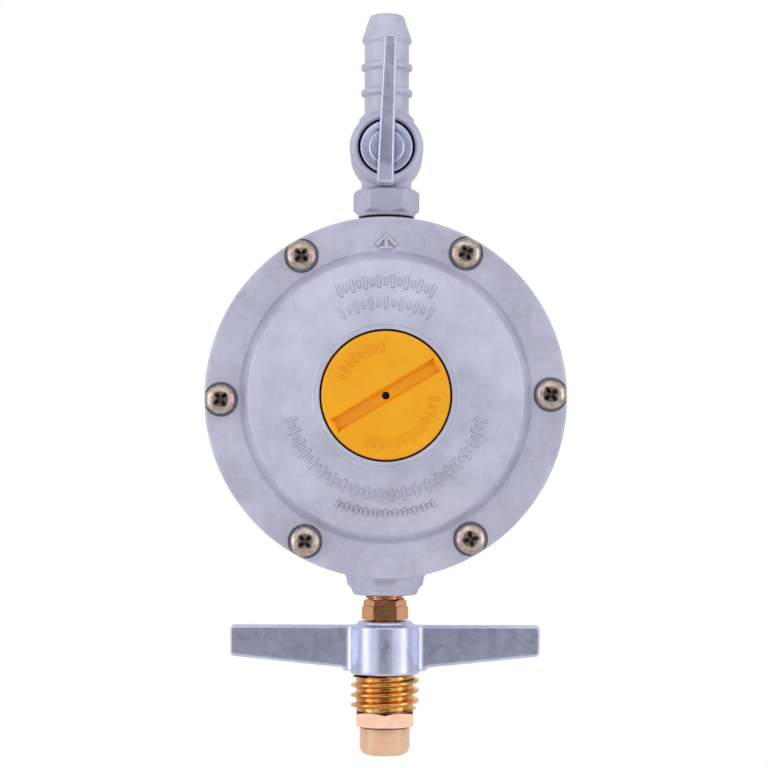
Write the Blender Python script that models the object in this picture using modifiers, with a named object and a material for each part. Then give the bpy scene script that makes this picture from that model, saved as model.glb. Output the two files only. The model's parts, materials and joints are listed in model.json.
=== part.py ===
"""Low-pressure gas regulator with a bolted cover, a vented cap, a quarter-turn cock and a wing-nut inlet.

Sizes are in millimetres and turned into metres by MM. The flow runs up world Z: the inlet nose's tip is the
origin and the hose tail is at the top. The regulator's round face looks along -Y. Pieces of the round body are
modelled in the face frame: local X is world X, local Y is world Z, and local Z points forward, along -Y.
"""

import math

import bmesh
import bpy
from mathutils import Matrix

MM = 0.001
FINE = 48      # steps of the large turned pieces
MEDIUM = 30    # steps of the middle ones
COARSE = 18    # steps of the small ones

# Clearances
SEAT_GAP = 0.3       # between pieces that rest on each other
THREAD_GAP = 0.3     # round a thread or a shank in its hole
RUNNING_GAP = 0.3    # between pieces that slide or turn on each other
CLOSED_GAP = 0.1     # left under the seat pad when the valve is shut

# Inlet nose, tip nut and threaded sleeve
NOSE_HEIGHT = 6.4
NOSE_RADIUS = 5.85
NOSE_CORNER = 3.2
NOSE_BORE = 1.6
TIP_NUT_HEIGHT = 3.4
TIP_NUT_FLATS = 13.2
TIP_NUT_FLOOR = 1.0
SLEEVE_RADIUS = 7.95
SLEEVE_PITCH = 2.31
THREAD_DEPTH = 1.3
SLEEVE_EXPOSED = 8.1
SLEEVE_SHANK_RADIUS = 6.2
SLEEVE_SHANK_LENGTH = 8.3

# Wing nut
HUB_RADIUS = 8.1
HUB_HEIGHT = 11.4
HUB_COLLAR_RADIUS = 6.45
HUB_COLLAR_HEIGHT = 0.9
WING_SPAN = 36.2
WING_THICKNESS = 4.4
WING_ROOT_DROP = 9.9
WING_TIP_DROP = 7.2
WING_FILLET = 2.6

# Inlet nipple, with its passage and filter
STEM_RADIUS = 3.2
NIPPLE_BORE = 1.7
NIPPLE_LOWER_CORNERS = 10.8
NIPPLE_LOWER_HEIGHT = 3.2
NIPPLE_UPPER_CORNERS = 10.1
NIPPLE_UPPER_HEIGHT = 1.5
NIPPLE_THREAD_RADIUS = 4.6
NIPPLE_THREAD_SHOWN = 1.1
NIPPLE_THREAD_HELD = 9.3
FILTER_RADIUS = 2.2
FILTER_LENGTH = 3.3
FILTER_WALL = 0.7

# Body casting, a bowl with a flange
FLANGE_RADIUS = 41.0
FLANGE_FRONT = 9.2
FLANGE_THICKNESS = 3.5
BOWL_MOUTH_RADIUS = 33.0
BOWL_BACK_RADIUS = 31.0
BOWL_WALL = 2.6
BOWL_BACK = 12.4
BOWL_CORNER = 4.0
INLET_BOSS_DROP = 4.9
INLET_BOSS_RADIUS = 8.9
INLET_BOSS_TIP_RADIUS = 7.6
POST_RADIUS = 6.5
POST_RISE = 20.6
OUTLET_BOSS_RADIUS = 8.5
OUTLET_BOSS_RISE = 0.4
OUTLET_PORT_RADIUS = 3.6

# Diaphragm, cover and screws
DIAPHRAGM_THICKNESS = 1.0
DIAPHRAGM_DISH = 4.0
DIAPHRAGM_FLAT_RADIUS = 21.0
COVER_INSET = 0.4
COVER_FLANGE_THICKNESS = 3.2
SHOULDER_FOOT_RADIUS = 32.7
SHOULDER_TOP_RADIUS = 31.3
SHOULDER_HEIGHT = 2.3
CONE_TOP_RADIUS = 17.2
CONE_RISE = 4.2
COVER_WALL = 2.4
CHAMBER_RADIUS = 30.2
NECK_FOOT_RADIUS = 15.9
NECK_TOP_RADIUS = 15.7
NECK_BORE = 14.9
NECK_HEIGHT = 10.6
NECK_SKIRT = 9.4
SCREW_COUNT = 6
SCREW_CIRCLE = 37.75
SCREW_TWIST = math.radians(1.0)
SCREW_HEAD_RADIUS = 3.5
SCREW_HEAD_HEIGHT = 2.1
SCREW_SHANK_RADIUS = 1.5
SCREW_LENGTH = 9.6
SCREW_BOSS_RADIUS = 2.8
SCREW_BOSS_LENGTH = 4.2
CROSS_WIDTH = 0.9
CROSS_SPAN = 4.0
CROSS_DEPTH = 1.2

# Vent cap, screen, adjuster and main spring
CAP_RADIUS = 14.5
CAP_PROUD = 0.4
CAP_DISC = 3.2
CAP_SKIRT = 1.3
CAP_SKIRT_WALL = 1.5
CAP_EDGE = 0.6
CAP_SLOT_LENGTH = 27.0
CAP_SLOT_WIDTH = 3.1
CAP_SLOT_DEPTH = 1.7
CAP_SLOT_ANGLE = math.radians(31.0)
VENT_RADIUS = 0.9
SCREEN_THICKNESS = 0.6
ADJUSTER_HEIGHT = 4.0
ADJUSTER_WALL = 2.1
ADJUSTER_FLOOR = 1.9
ADJUSTER_SLOT = (13.0, 2.4, 1.0)
ADJUSTER_HOLE = 2.0
UPPER_SEAT_THICKNESS = 0.9
UPPER_SEAT_HOLE = 4.0
SPRING_MEAN_RADIUS = 9.4
SPRING_WIRE = 1.6
SPRING_TURNS = 3.25
SPRING_POINTS_PER_TURN = 16

# Diaphragm plate, backing washer, post and nut
PLATE_RADIUS = 19.0
PLATE_THICKNESS = 1.2
PLATE_RIM = 1.0
WASHER_RADIUS = 9.5
WASHER_THICKNESS = 1.0
STUD_RADIUS = 1.4
STUD_SPARE = 1.0
POST_END_RADIUS = 3.4
POST_END_LENGTH = 10.1
NUT_FLATS = 5.5
NUT_HEIGHT = 2.0

# Valve lever, its pin, the pad and the nozzle
DIAPHRAGM_TRAVEL = 2.0
PIN_BACK = 6.5
PIN_DROP = 13.3
PIN_RADIUS = 1.0
PIN_LENGTH = 12.6
LEVER_THICKNESS = 1.6
LEVER_WIDTH = 3.0
LEVER_TIP_BACK = 3.0
LEVER_TIP_RADIUS = 1.0
LEVER_FINGER_TIP_RADIUS = 1.3
LEVER_HUB_RADIUS = 2.2
EAR_THICKNESS = 2.2
EAR_HEIGHT = 7.0
EAR_REACH = 2.5
HOLDER_RADIUS = 3.5
HOLDER_TOP = 3.4
HOLDER_SLOT = 3.4
PAD_RADIUS = 2.6
PAD_THICKNESS = 2.0
PAD_BELOW_HOLDER = 0.8
NOZZLE_TIP_RADIUS = 1.8
NOZZLE_BORE = 0.9
NOZZLE_HEAD_RADIUS = 4.6
NOZZLE_HEAD_HEIGHT = 3.0
NOZZLE_THREAD_RADIUS = 4.0
NOZZLE_THREAD_LENGTH = 6.5

# Outlet cock
SEAL_RING_HEIGHT = 0.8
OUTLET_STEM_RADIUS = 5.0
OUTLET_STEM_LENGTH = 8.2
OUTLET_COLLAR_RADIUS = 6.75
OUTLET_COLLAR_HEIGHT = 1.1
OUTLET_HEX_CORNERS = 15.7
OUTLET_HEX_HEIGHT = 5.7
OUTLET_NECK_RADIUS = 5.9
OUTLET_BORE = 3.0
BARREL_RISE = 9.1
BARREL_RADIUS = 8.6
BARREL_FRONT = 9.5
BARREL_BACK = 8.4
BARREL_REAR_WALL = 2.6
PLUG_RADIUS = 6.2
PLUG_BORE_GAP = 0.4
PLUG_PORT = 2.9
PLUG_GROOVE_FLOOR = 5.2
PLUG_GROOVE_WIDTH = 1.4
PLUG_GROOVE_PLACE = 4.7
PLUG_STUB_RADIUS = 3.0
ORING_SECTION = 0.45
BLADE_THICKNESS = 2.8
BLADE_ABOVE = 23.2
BLADE_BELOW = 10.3
BLADE_FRONT = 9.2
PLUG_SCREW_HEAD = 2.6
PLUG_SCREW_HEAD_HEIGHT = 1.5
PLUG_SCREW_SHANK = 1.0
SPRING_WASHER_RADIUS = 5.0
SPRING_WASHER_CONE = 0.6
SPRING_WASHER_THICKNESS = 0.6

# Hose tail
TAIL_LENGTH = 32.5
TAIL_SHANK_RADIUS = 5.25
TAIL_RIDGE_RADIUS = 6.0
TAIL_RIDGE_HALF = 0.95
TAIL_RIDGE_PLACES = (12.7, 18.9)
TAIL_CONE_FOOT_RADIUS = 5.9
TAIL_CONE_TIP_RADIUS = 3.9
TAIL_CONE_LENGTH = 6.7

# Heights along the flow axis that follow from the sizes above
TIP_NUT_BOTTOM = NOSE_HEIGHT + SEAT_GAP
TIP_NUT_TOP = TIP_NUT_BOTTOM + TIP_NUT_HEIGHT
SLEEVE_BOTTOM = TIP_NUT_TOP + RUNNING_GAP
HUB_BOTTOM = SLEEVE_BOTTOM + SLEEVE_EXPOSED + SEAT_GAP
HUB_TOP = HUB_BOTTOM + HUB_HEIGHT
COLLAR_TOP = HUB_TOP + HUB_COLLAR_HEIGHT
NIPPLE_SHOULDER = COLLAR_TOP + RUNNING_GAP
NIPPLE_THREAD_FOOT = NIPPLE_SHOULDER + NIPPLE_LOWER_HEIGHT + NIPPLE_UPPER_HEIGHT
BOSS_BOTTOM = NIPPLE_THREAD_FOOT + NIPPLE_THREAD_SHOWN
NIPPLE_TOP = BOSS_BOTTOM + NIPPLE_THREAD_HELD
FLANGE_BOTTOM = BOSS_BOTTOM + INLET_BOSS_DROP
CENTRE = FLANGE_BOTTOM + FLANGE_RADIUS
FLANGE_TOP = CENTRE + FLANGE_RADIUS
POST_TOP = BOSS_BOTTOM + POST_RISE
NOZZLE_SEAT_FACE = POST_TOP + SEAT_GAP
NOZZLE_BOTTOM = NOZZLE_SEAT_FACE - NOZZLE_THREAD_LENGTH
PIN_HEIGHT = CENTRE - PIN_DROP
PAD_TRAVEL = DIAPHRAGM_TRAVEL * PIN_BACK / PIN_DROP
HOLDER_SLOT_BOTTOM = PIN_HEIGHT - HOLDER_SLOT / 2
PAD_TOP = HOLDER_SLOT_BOTTOM - 0.9 - SEAT_GAP
PAD_BOTTOM = PAD_TOP - PAD_THICKNESS
NOZZLE_TIP = PAD_BOTTOM - PAD_TRAVEL - CLOSED_GAP
OUTLET_BOSS_TOP = FLANGE_TOP + OUTLET_BOSS_RISE
SEAL_RING_BOTTOM = OUTLET_BOSS_TOP + SEAT_GAP
OUTLET_COLLAR_BOTTOM = SEAL_RING_BOTTOM + SEAL_RING_HEIGHT + SEAT_GAP
OUTLET_HEX_BOTTOM = OUTLET_COLLAR_BOTTOM + OUTLET_COLLAR_HEIGHT - 0.3
OUTLET_HEX_TOP = OUTLET_HEX_BOTTOM + OUTLET_HEX_HEIGHT
COCK = OUTLET_HEX_TOP + BARREL_RISE
TAIL_TOP = COCK + TAIL_LENGTH

# Distances forward of the flow axis that follow from the sizes above
BOWL_FLOOR = -BOWL_BACK + BOWL_WALL
RIM_BACK = FLANGE_FRONT + SEAT_GAP
RIM_FRONT = RIM_BACK + DIAPHRAGM_THICKNESS
COVER_BACK = RIM_FRONT + SEAT_GAP
COVER_FACE = COVER_BACK + COVER_FLANGE_THICKNESS
SHOULDER = COVER_FACE + SHOULDER_HEIGHT
CONE_TOP = SHOULDER + CONE_RISE
NECK_TOP = COVER_FACE + NECK_HEIGHT
SKIRT_END = NECK_TOP - NECK_SKIRT
CAP_FRONT = NECK_TOP + CAP_PROUD
CAP_UNDERSIDE = CAP_FRONT - CAP_DISC
CAP_SKIRT_END = CAP_UNDERSIDE - CAP_SKIRT
SCREEN_FRONT = CAP_UNDERSIDE - SEAT_GAP
ADJUSTER_FRONT = CAP_SKIRT_END - SEAT_GAP
ADJUSTER_BACK = ADJUSTER_FRONT - ADJUSTER_HEIGHT
UPPER_SEAT_FRONT = ADJUSTER_FRONT - ADJUSTER_FLOOR - SEAT_GAP
UPPER_SEAT_BACK = UPPER_SEAT_FRONT - UPPER_SEAT_THICKNESS
CENTRE_BACK = RIM_BACK - DIAPHRAGM_DISH
CENTRE_FRONT = RIM_FRONT - DIAPHRAGM_DISH
PLATE_BACK = CENTRE_FRONT + SEAT_GAP
PLATE_FRONT = PLATE_BACK + PLATE_THICKNESS
WASHER_FRONT = CENTRE_BACK - SEAT_GAP
WASHER_BACK = WASHER_FRONT - WASHER_THICKNESS
POST_SHOULDER = WASHER_BACK - SEAT_GAP
NUT_BACK = PLATE_FRONT + SEAT_GAP
NUT_FRONT = NUT_BACK + NUT_HEIGHT
SCREW_SEAT = COVER_FACE + SEAT_GAP
SCREW_TIP = SCREW_SEAT - SCREW_LENGTH

# Finishes: colour, roughness, metallic
ZINC = ((0.47, 0.48, 0.58), 0.42, 0.85)
BRASS = ((0.72, 0.40, 0.17), 0.28, 1.0)
NICKEL = ((0.45, 0.38, 0.33), 0.3, 1.0)
STEEL = ((0.50, 0.50, 0.52), 0.35, 1.0)
YELLOW = ((0.87, 0.35, 0.01), 0.45, 0.0)
DARK_PLASTIC = ((0.12, 0.14, 0.16), 0.5, 0.0)
POLYMER = ((0.72, 0.46, 0.30), 0.4, 0.0)
RUBBER = ((0.03, 0.03, 0.03), 0.7, 0.0)
FIBRE = ((0.50, 0.28, 0.22), 0.8, 0.0)


def new_collection(name):
    """Make a collection in the scene."""
    made = bpy.data.collections.new(name)
    bpy.context.scene.collection.children.link(made)
    return made


def new_empty(name, location, rotation=(0.0, 0.0, 0.0)):
    """Make an empty that carries the pieces of one axis. The location is in millimetres."""
    made = bpy.data.objects.new(name, None)
    made.location = [value * MM for value in location]
    made.rotation_euler = rotation
    PARTS.objects.link(made)
    return made


def new_material(name, finish):
    """Make a Principled material from a finish."""
    colour, roughness, metallic = finish
    made = bpy.data.materials.new(name)
    made.use_nodes = True
    shader = made.node_tree.nodes["Principled BSDF"]
    shader.inputs["Base Color"].default_value = (*colour, 1.0)
    shader.inputs["Roughness"].default_value = roughness
    shader.inputs["Metallic"].default_value = metallic
    made.diffuse_color = (*colour, 1.0)
    return made


def add_object(name, data, carrier, finish=None):
    """Put an object on its carrier. Without a finish it is a cutter or a guide, and isn't a piece."""
    made = bpy.data.objects.new(name, data)
    made.parent = carrier
    if finish is None:
        CUTTERS.objects.link(made)
        made.hide_render = True
        made.display_type = "WIRE"
        return made
    PARTS.objects.link(made)
    data.materials.append(new_material(name, finish))
    return made


def turned(name, profile, carrier, finish=None, steps=MEDIUM):
    """Turn a profile of (radius, height) points, in millimetres, about the carrier's local Z.

    A profile that reaches radius 0 is open there, and any other profile is a closed ring section.
    """
    area = sum(
        r0 * h1 - r1 * h0
        for (r0, h0), (r1, h1) in zip(profile, profile[1:] + profile[:1])
    )
    points = profile if area < 0 else profile[::-1]
    closed = min(radius for radius, _ in points) > 0
    if not closed:
        first = next(
            i for i, (radius, _) in enumerate(points)
            if radius == 0 and points[i - 1][0] == 0
        )
        points = points[first:] + points[:first]
    edges = [(i, i + 1) for i in range(len(points) - 1)]
    if closed:
        edges.append((len(points) - 1, 0))
    mesh = bpy.data.meshes.new(name)
    mesh.from_pydata([(radius * MM, 0.0, height * MM) for radius, height in points], edges, [])
    made = add_object(name, mesh, carrier, finish)
    screw = made.modifiers.new("turn", "SCREW")
    screw.steps = steps
    screw.render_steps = steps
    screw.use_merge_vertices = True
    screw.merge_threshold = 0.00001
    screw.use_smooth_shade = True
    return made


def tube(radius_in, radius_out, low, high):
    """Ring section between two radii and two heights."""
    return [(radius_out, high), (radius_out, low), (radius_in, low), (radius_in, high)]


def bar(radius, low, high):
    """Section of a solid bar between two heights."""
    return [(0, high), (radius, high), (radius, low), (0, low)]


def arc(centre, radius, start, end, count):
    """Points along an arc, with its angles in degrees."""
    angles = [math.radians(start + (end - start) * i / count) for i in range(count + 1)]
    return [(centre[0] + radius * math.cos(a), centre[1] + radius * math.sin(a)) for a in angles]


def prism(name, corners, low, high, carrier, sides=6, turn=0.0, finish=None):
    """Regular prism about local Z, with a corner-to-corner width in millimetres."""
    shape = bmesh.new()
    bmesh.ops.create_cone(
        shape,
        cap_ends=True,
        segments=sides,
        radius1=corners / 2 * MM,
        radius2=corners / 2 * MM,
        depth=(high - low) * MM,
    )
    bmesh.ops.rotate(shape, verts=shape.verts, matrix=spin(turn))
    bmesh.ops.translate(shape, verts=shape.verts, vec=(0, 0, (low + high) / 2 * MM))
    return from_bmesh(name, shape, carrier, finish)


def spin(angle):
    """Rotation about Z."""
    return Matrix.Rotation(angle, 3, "Z")


def box(name, size, centre, carrier, turn=0.0, finish=None):
    """Box with a size and a centre in millimetres, turned about the centre's Z."""
    shape = bmesh.new()
    bmesh.ops.create_cube(shape, size=1.0)
    bmesh.ops.scale(shape, verts=shape.verts, vec=[value * MM for value in size])
    bmesh.ops.rotate(shape, verts=shape.verts, matrix=spin(turn))
    bmesh.ops.translate(shape, verts=shape.verts, vec=[value * MM for value in centre])
    return from_bmesh(name, shape, carrier, finish)


def from_bmesh(name, shape, carrier, finish):
    """Turn a bmesh into an object."""
    mesh = bpy.data.meshes.new(name)
    shape.to_mesh(mesh)
    shape.free()
    return add_object(name, mesh, carrier, finish)


def ring_of_bars(name, radius, low, high, carrier, sides=12):
    """Six bars on the screw circle, in one guide object."""
    shape = bmesh.new()
    for x, y in screw_places():
        made = bmesh.ops.create_cone(
            shape,
            cap_ends=True,
            segments=sides,
            radius1=radius * MM,
            radius2=radius * MM,
            depth=(high - low) * MM,
        )
        bmesh.ops.translate(shape, verts=made["verts"], vec=(x * MM, y * MM, (low + high) / 2 * MM))
    return from_bmesh(name, shape, carrier, None)


def screw_places():
    """Centres of the cover screws in the face frame, in millimetres."""
    turns = [SCREW_TWIST + 2 * math.pi * i / SCREW_COUNT for i in range(SCREW_COUNT)]
    return [(SCREW_CIRCLE * math.cos(a), SCREW_CIRCLE * math.sin(a)) for a in turns]


def baked_curve(name, curve, carrier, finish=None):
    """Turn a curve into a welded mesh object, so that it can be cut and joined."""
    guide = bpy.data.objects.new(name + "_curve", curve)
    bpy.context.scene.collection.objects.link(guide)
    graph = bpy.context.evaluated_depsgraph_get()
    mesh = bpy.data.meshes.new_from_object(guide.evaluated_get(graph))
    bpy.data.objects.remove(guide)
    bpy.data.curves.remove(curve)
    mesh.name = name
    shape = bmesh.new()
    shape.from_mesh(mesh)
    bmesh.ops.remove_doubles(shape, verts=shape.verts, dist=0.000001)
    bmesh.ops.recalc_face_normals(shape, faces=shape.faces)
    shape.to_mesh(mesh)
    shape.free()
    mesh.materials.clear()
    return add_object(name, mesh, carrier, finish)


def plate(name, outline, thickness, carrier, finish=None):
    """Flat plate from an outline in the carrier's local XY, centred on its local Z = 0."""
    curve = bpy.data.curves.new(name, "CURVE")
    curve.dimensions = "2D"
    curve.fill_mode = "BOTH"
    curve.extrude = thickness / 2 * MM
    spline = curve.splines.new("POLY")
    spline.points.add(len(outline) - 1)
    for point, (x, y) in zip(spline.points, outline):
        point.co = (x * MM, y * MM, 0.0, 1.0)
    spline.use_cyclic_u = True
    return baked_curve(name, curve, carrier, finish)


def combine(piece, other, operation):
    """Add one Boolean step to a piece."""
    step = piece.modifiers.new(other.name, "BOOLEAN")
    step.operation = operation
    step.solver = "EXACT"
    step.object = other


def join(piece, *others):
    """Unite guides with a piece."""
    for other in others:
        combine(piece, other, "UNION")


def cut(piece, *others):
    """Take cutters out of a piece."""
    for other in others:
        combine(piece, other, "DIFFERENCE")


def build_inlet():
    """Nose seal, tip nut, threaded sleeve, wing nut and nipple."""
    corner = (NOSE_RADIUS - NOSE_CORNER, NOSE_CORNER)
    nose = [(NOSE_BORE, NOSE_HEIGHT), (NOSE_RADIUS, NOSE_HEIGHT)]
    nose += arc(corner, NOSE_CORNER, 0, -90, 6) + [(NOSE_BORE, 0)]
    turned("nose_seal", nose, FLOW, POLYMER, COARSE)

    tip_corners = TIP_NUT_FLATS / math.cos(math.pi / 6)
    tip_nut = prism("inlet_tip_nut", tip_corners, TIP_NUT_BOTTOM, TIP_NUT_TOP, FLOW, finish=BRASS)
    stem_bottom = TIP_NUT_BOTTOM + TIP_NUT_FLOOR + SEAT_GAP
    cut(tip_nut, turned("tip_nut_bore", [
        (0, TIP_NUT_TOP + 1),
        (STEM_RADIUS + THREAD_GAP, TIP_NUT_TOP + 1),
        (STEM_RADIUS + THREAD_GAP, TIP_NUT_BOTTOM + TIP_NUT_FLOOR),
        (NOSE_BORE, TIP_NUT_BOTTOM + TIP_NUT_FLOOR),
        (NOSE_BORE, TIP_NUT_BOTTOM - 1),
        (0, TIP_NUT_BOTTOM - 1),
    ], FLOW, steps=COARSE))

    root = SLEEVE_RADIUS - THREAD_DEPTH
    sleeve_top = SLEEVE_BOTTOM + SLEEVE_EXPOSED
    shank_top = sleeve_top + SEAT_GAP + SLEEVE_SHANK_LENGTH
    bore = STEM_RADIUS + RUNNING_GAP
    sleeve = [(bore, shank_top), (SLEEVE_SHANK_RADIUS, shank_top), (SLEEVE_SHANK_RADIUS, sleeve_top)]
    ridges = int(SLEEVE_EXPOSED / SLEEVE_PITCH)
    for i in range(ridges):
        crest = sleeve_top - SLEEVE_PITCH * (i + 0.5)
        sleeve += [(root, crest + SLEEVE_PITCH * 0.46), (SLEEVE_RADIUS, crest + SLEEVE_PITCH * 0.12)]
        sleeve += [(SLEEVE_RADIUS, crest - SLEEVE_PITCH * 0.12), (root, crest - SLEEVE_PITCH * 0.46)]
    sleeve += [(root - 0.6, SLEEVE_BOTTOM), (bore, SLEEVE_BOTTOM)]
    turned("threaded_sleeve", sleeve, FLOW, BRASS, 24)

    hub_floor = shank_top + SEAT_GAP
    shank_hole = SLEEVE_SHANK_RADIUS + THREAD_GAP
    wing_nut = turned("wing_nut", [
        (bore, COLLAR_TOP),
        (HUB_COLLAR_RADIUS, COLLAR_TOP),
        (HUB_COLLAR_RADIUS, HUB_TOP),
        (HUB_RADIUS, HUB_TOP),
        (HUB_RADIUS, HUB_BOTTOM),
        (shank_hole, HUB_BOTTOM),
        (shank_hole, hub_floor),
        (bore, hub_floor),
    ], FLOW, ZINC, MEDIUM)
    inner = (HUB_RADIUS + shank_hole) / 2
    top = HUB_TOP - 0.15
    tip_bottom = top - WING_TIP_DROP
    root_bottom = top - WING_ROOT_DROP
    fillet_end = HUB_RADIUS + WING_FILLET
    slope = (tip_bottom - root_bottom) / (WING_SPAN - HUB_RADIUS)
    outline = [
        (inner, top),
        (WING_SPAN - 0.6, top),
        (WING_SPAN, top - 0.6),
        (WING_SPAN, tip_bottom + 0.6),
        (WING_SPAN - 0.6, tip_bottom),
        (fillet_end, root_bottom + slope * WING_FILLET),
        (HUB_RADIUS + WING_FILLET * 0.3, root_bottom - WING_FILLET * 0.08),
        (inner, root_bottom - WING_FILLET * 0.3),
    ]
    for side, name in ((1, "right_wing"), (-1, "left_wing")):
        join(wing_nut, plate(name, [(side * x, y) for x, y in outline], WING_THICKNESS, WINGS))

    nipple = turned("inlet_nipple", [
        (0, NIPPLE_TOP),
        (NIPPLE_THREAD_RADIUS, NIPPLE_TOP),
        (NIPPLE_THREAD_RADIUS, NIPPLE_THREAD_FOOT - 0.2),
        (STEM_RADIUS, NIPPLE_THREAD_FOOT - 0.2),
        (STEM_RADIUS, stem_bottom),
        (0, stem_bottom),
    ], FLOW, BRASS, COARSE)
    tier = NIPPLE_SHOULDER + NIPPLE_LOWER_HEIGHT
    join(
        nipple,
        prism("nipple_lower_hex", NIPPLE_LOWER_CORNERS, NIPPLE_SHOULDER, tier, FLOW, turn=FLAT_FORWARD),
        prism("nipple_upper_hex", NIPPLE_UPPER_CORNERS, tier - 0.5, NIPPLE_THREAD_FOOT, FLOW, turn=FLAT_FORWARD),
    )
    cut(nipple, turned("nipple_bore", bar(NIPPLE_BORE, stem_bottom - 1, NIPPLE_TOP + 1), FLOW, steps=16))

    filter_low = NIPPLE_TOP + SEAT_GAP
    filter_high = filter_low + FILTER_LENGTH
    turned("inlet_filter", [
        (0, filter_high),
        (FILTER_RADIUS, filter_high),
        (FILTER_RADIUS, filter_low),
        (FILTER_RADIUS - FILTER_WALL, filter_low),
        (FILTER_RADIUS - FILTER_WALL, filter_high - FILTER_WALL),
        (0, filter_high - FILTER_WALL),
    ], FLOW, BRASS, 16)


def build_body():
    """Body casting: bowl, flange, inlet and outlet bosses, screw bosses and the lever's ears."""
    flange_back = FLANGE_FRONT - FLANGE_THICKNESS
    corner = (BOWL_BACK_RADIUS - BOWL_CORNER, -BOWL_BACK + BOWL_CORNER)
    inner_corner = BOWL_BACK_RADIUS - BOWL_WALL
    profile = [
        (0, BOWL_FLOOR),
        (inner_corner - 1.5, BOWL_FLOOR),
        (inner_corner, BOWL_FLOOR + 1.5),
        (CHAMBER_RADIUS, flange_back),
        (CHAMBER_RADIUS, FLANGE_FRONT),
        (FLANGE_RADIUS, FLANGE_FRONT),
        (FLANGE_RADIUS, flange_back),
        (BOWL_MOUTH_RADIUS + 1, flange_back),
        (BOWL_MOUTH_RADIUS, flange_back - 1),
    ]
    profile += arc(corner, BOWL_CORNER, 0, -90, 4) + [(0, -BOWL_BACK)]
    body = turned("body_casting", profile, FACE, ZINC, FINE)

    inlet_inner = CENTRE - CHAMBER_RADIUS
    inlet_boss = turned("inlet_boss", [
        (0, POST_TOP),
        (POST_RADIUS, POST_TOP),
        (POST_RADIUS, inlet_inner - 0.4),
        (INLET_BOSS_RADIUS, inlet_inner - 1.5),
        (INLET_BOSS_RADIUS, FLANGE_BOTTOM + 0.9),
        (INLET_BOSS_TIP_RADIUS, BOSS_BOTTOM),
        (0, BOSS_BOTTOM),
    ], FLOW, steps=COARSE)
    outlet_foot = CENTRE + BOWL_BACK_RADIUS - BOWL_WALL + 1.2
    outlet_boss = turned("outlet_boss", bar(OUTLET_BOSS_RADIUS, outlet_foot, OUTLET_BOSS_TOP), FLOW, steps=MEDIUM)
    screw_bosses = ring_of_bars(
        "screw_bosses", SCREW_BOSS_RADIUS, flange_back - SCREW_BOSS_LENGTH, flange_back + 1, FACE
    )
    join(body, inlet_boss, outlet_boss, screw_bosses)
    ear_back = BOWL_FLOOR - 0.5
    ear_depth = EAR_REACH - ear_back
    ear_x = HOLDER_RADIUS + RUNNING_GAP + EAR_THICKNESS / 2
    for side, name in ((1, "right_ear"), (-1, "left_ear")):
        join(body, box(
            name,
            (EAR_THICKNESS, EAR_HEIGHT, ear_depth),
            (side * ear_x, -PIN_DROP, (EAR_REACH + ear_back) / 2),
            FACE,
        ))

    thread_hole = NIPPLE_THREAD_RADIUS + THREAD_GAP
    nozzle_hole = NOZZLE_THREAD_RADIUS + THREAD_GAP
    passage = FILTER_RADIUS + THREAD_GAP
    filter_low = NIPPLE_TOP + SEAT_GAP / 2
    inlet_bore = turned("inlet_bore", [
        (0, POST_TOP + 1),
        (nozzle_hole, POST_TOP + 1),
        (nozzle_hole, NOZZLE_BOTTOM - SEAT_GAP),
        (passage, NOZZLE_BOTTOM - SEAT_GAP),
        (passage, filter_low),
        (thread_hole, filter_low),
        (thread_hole, BOSS_BOTTOM - 1),
        (0, BOSS_BOTTOM - 1),
    ], FLOW, steps=COARSE)
    stem_hole = OUTLET_STEM_RADIUS + THREAD_GAP
    stem_end = OUTLET_COLLAR_BOTTOM - OUTLET_STEM_LENGTH - SEAT_GAP
    outlet_bore = turned("outlet_bore", [
        (0, OUTLET_BOSS_TOP + 1),
        (stem_hole, OUTLET_BOSS_TOP + 1),
        (stem_hole, stem_end),
        (OUTLET_PORT_RADIUS, stem_end),
        (OUTLET_PORT_RADIUS, CENTRE + 10),
        (0, CENTRE + 10),
    ], FLOW, steps=COARSE)
    screw_holes = ring_of_bars(
        "body_screw_holes", SCREW_SHANK_RADIUS + THREAD_GAP, SCREW_TIP - SEAT_GAP, FLANGE_FRONT + 1, FACE
    )
    pin_hole = turned(
        "pin_hole", bar(PIN_RADIUS + THREAD_GAP / 2, -PIN_LENGTH, PIN_LENGTH), PIVOT, steps=16
    )
    cut(body, inlet_bore, outlet_bore, screw_holes, pin_hole)


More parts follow.
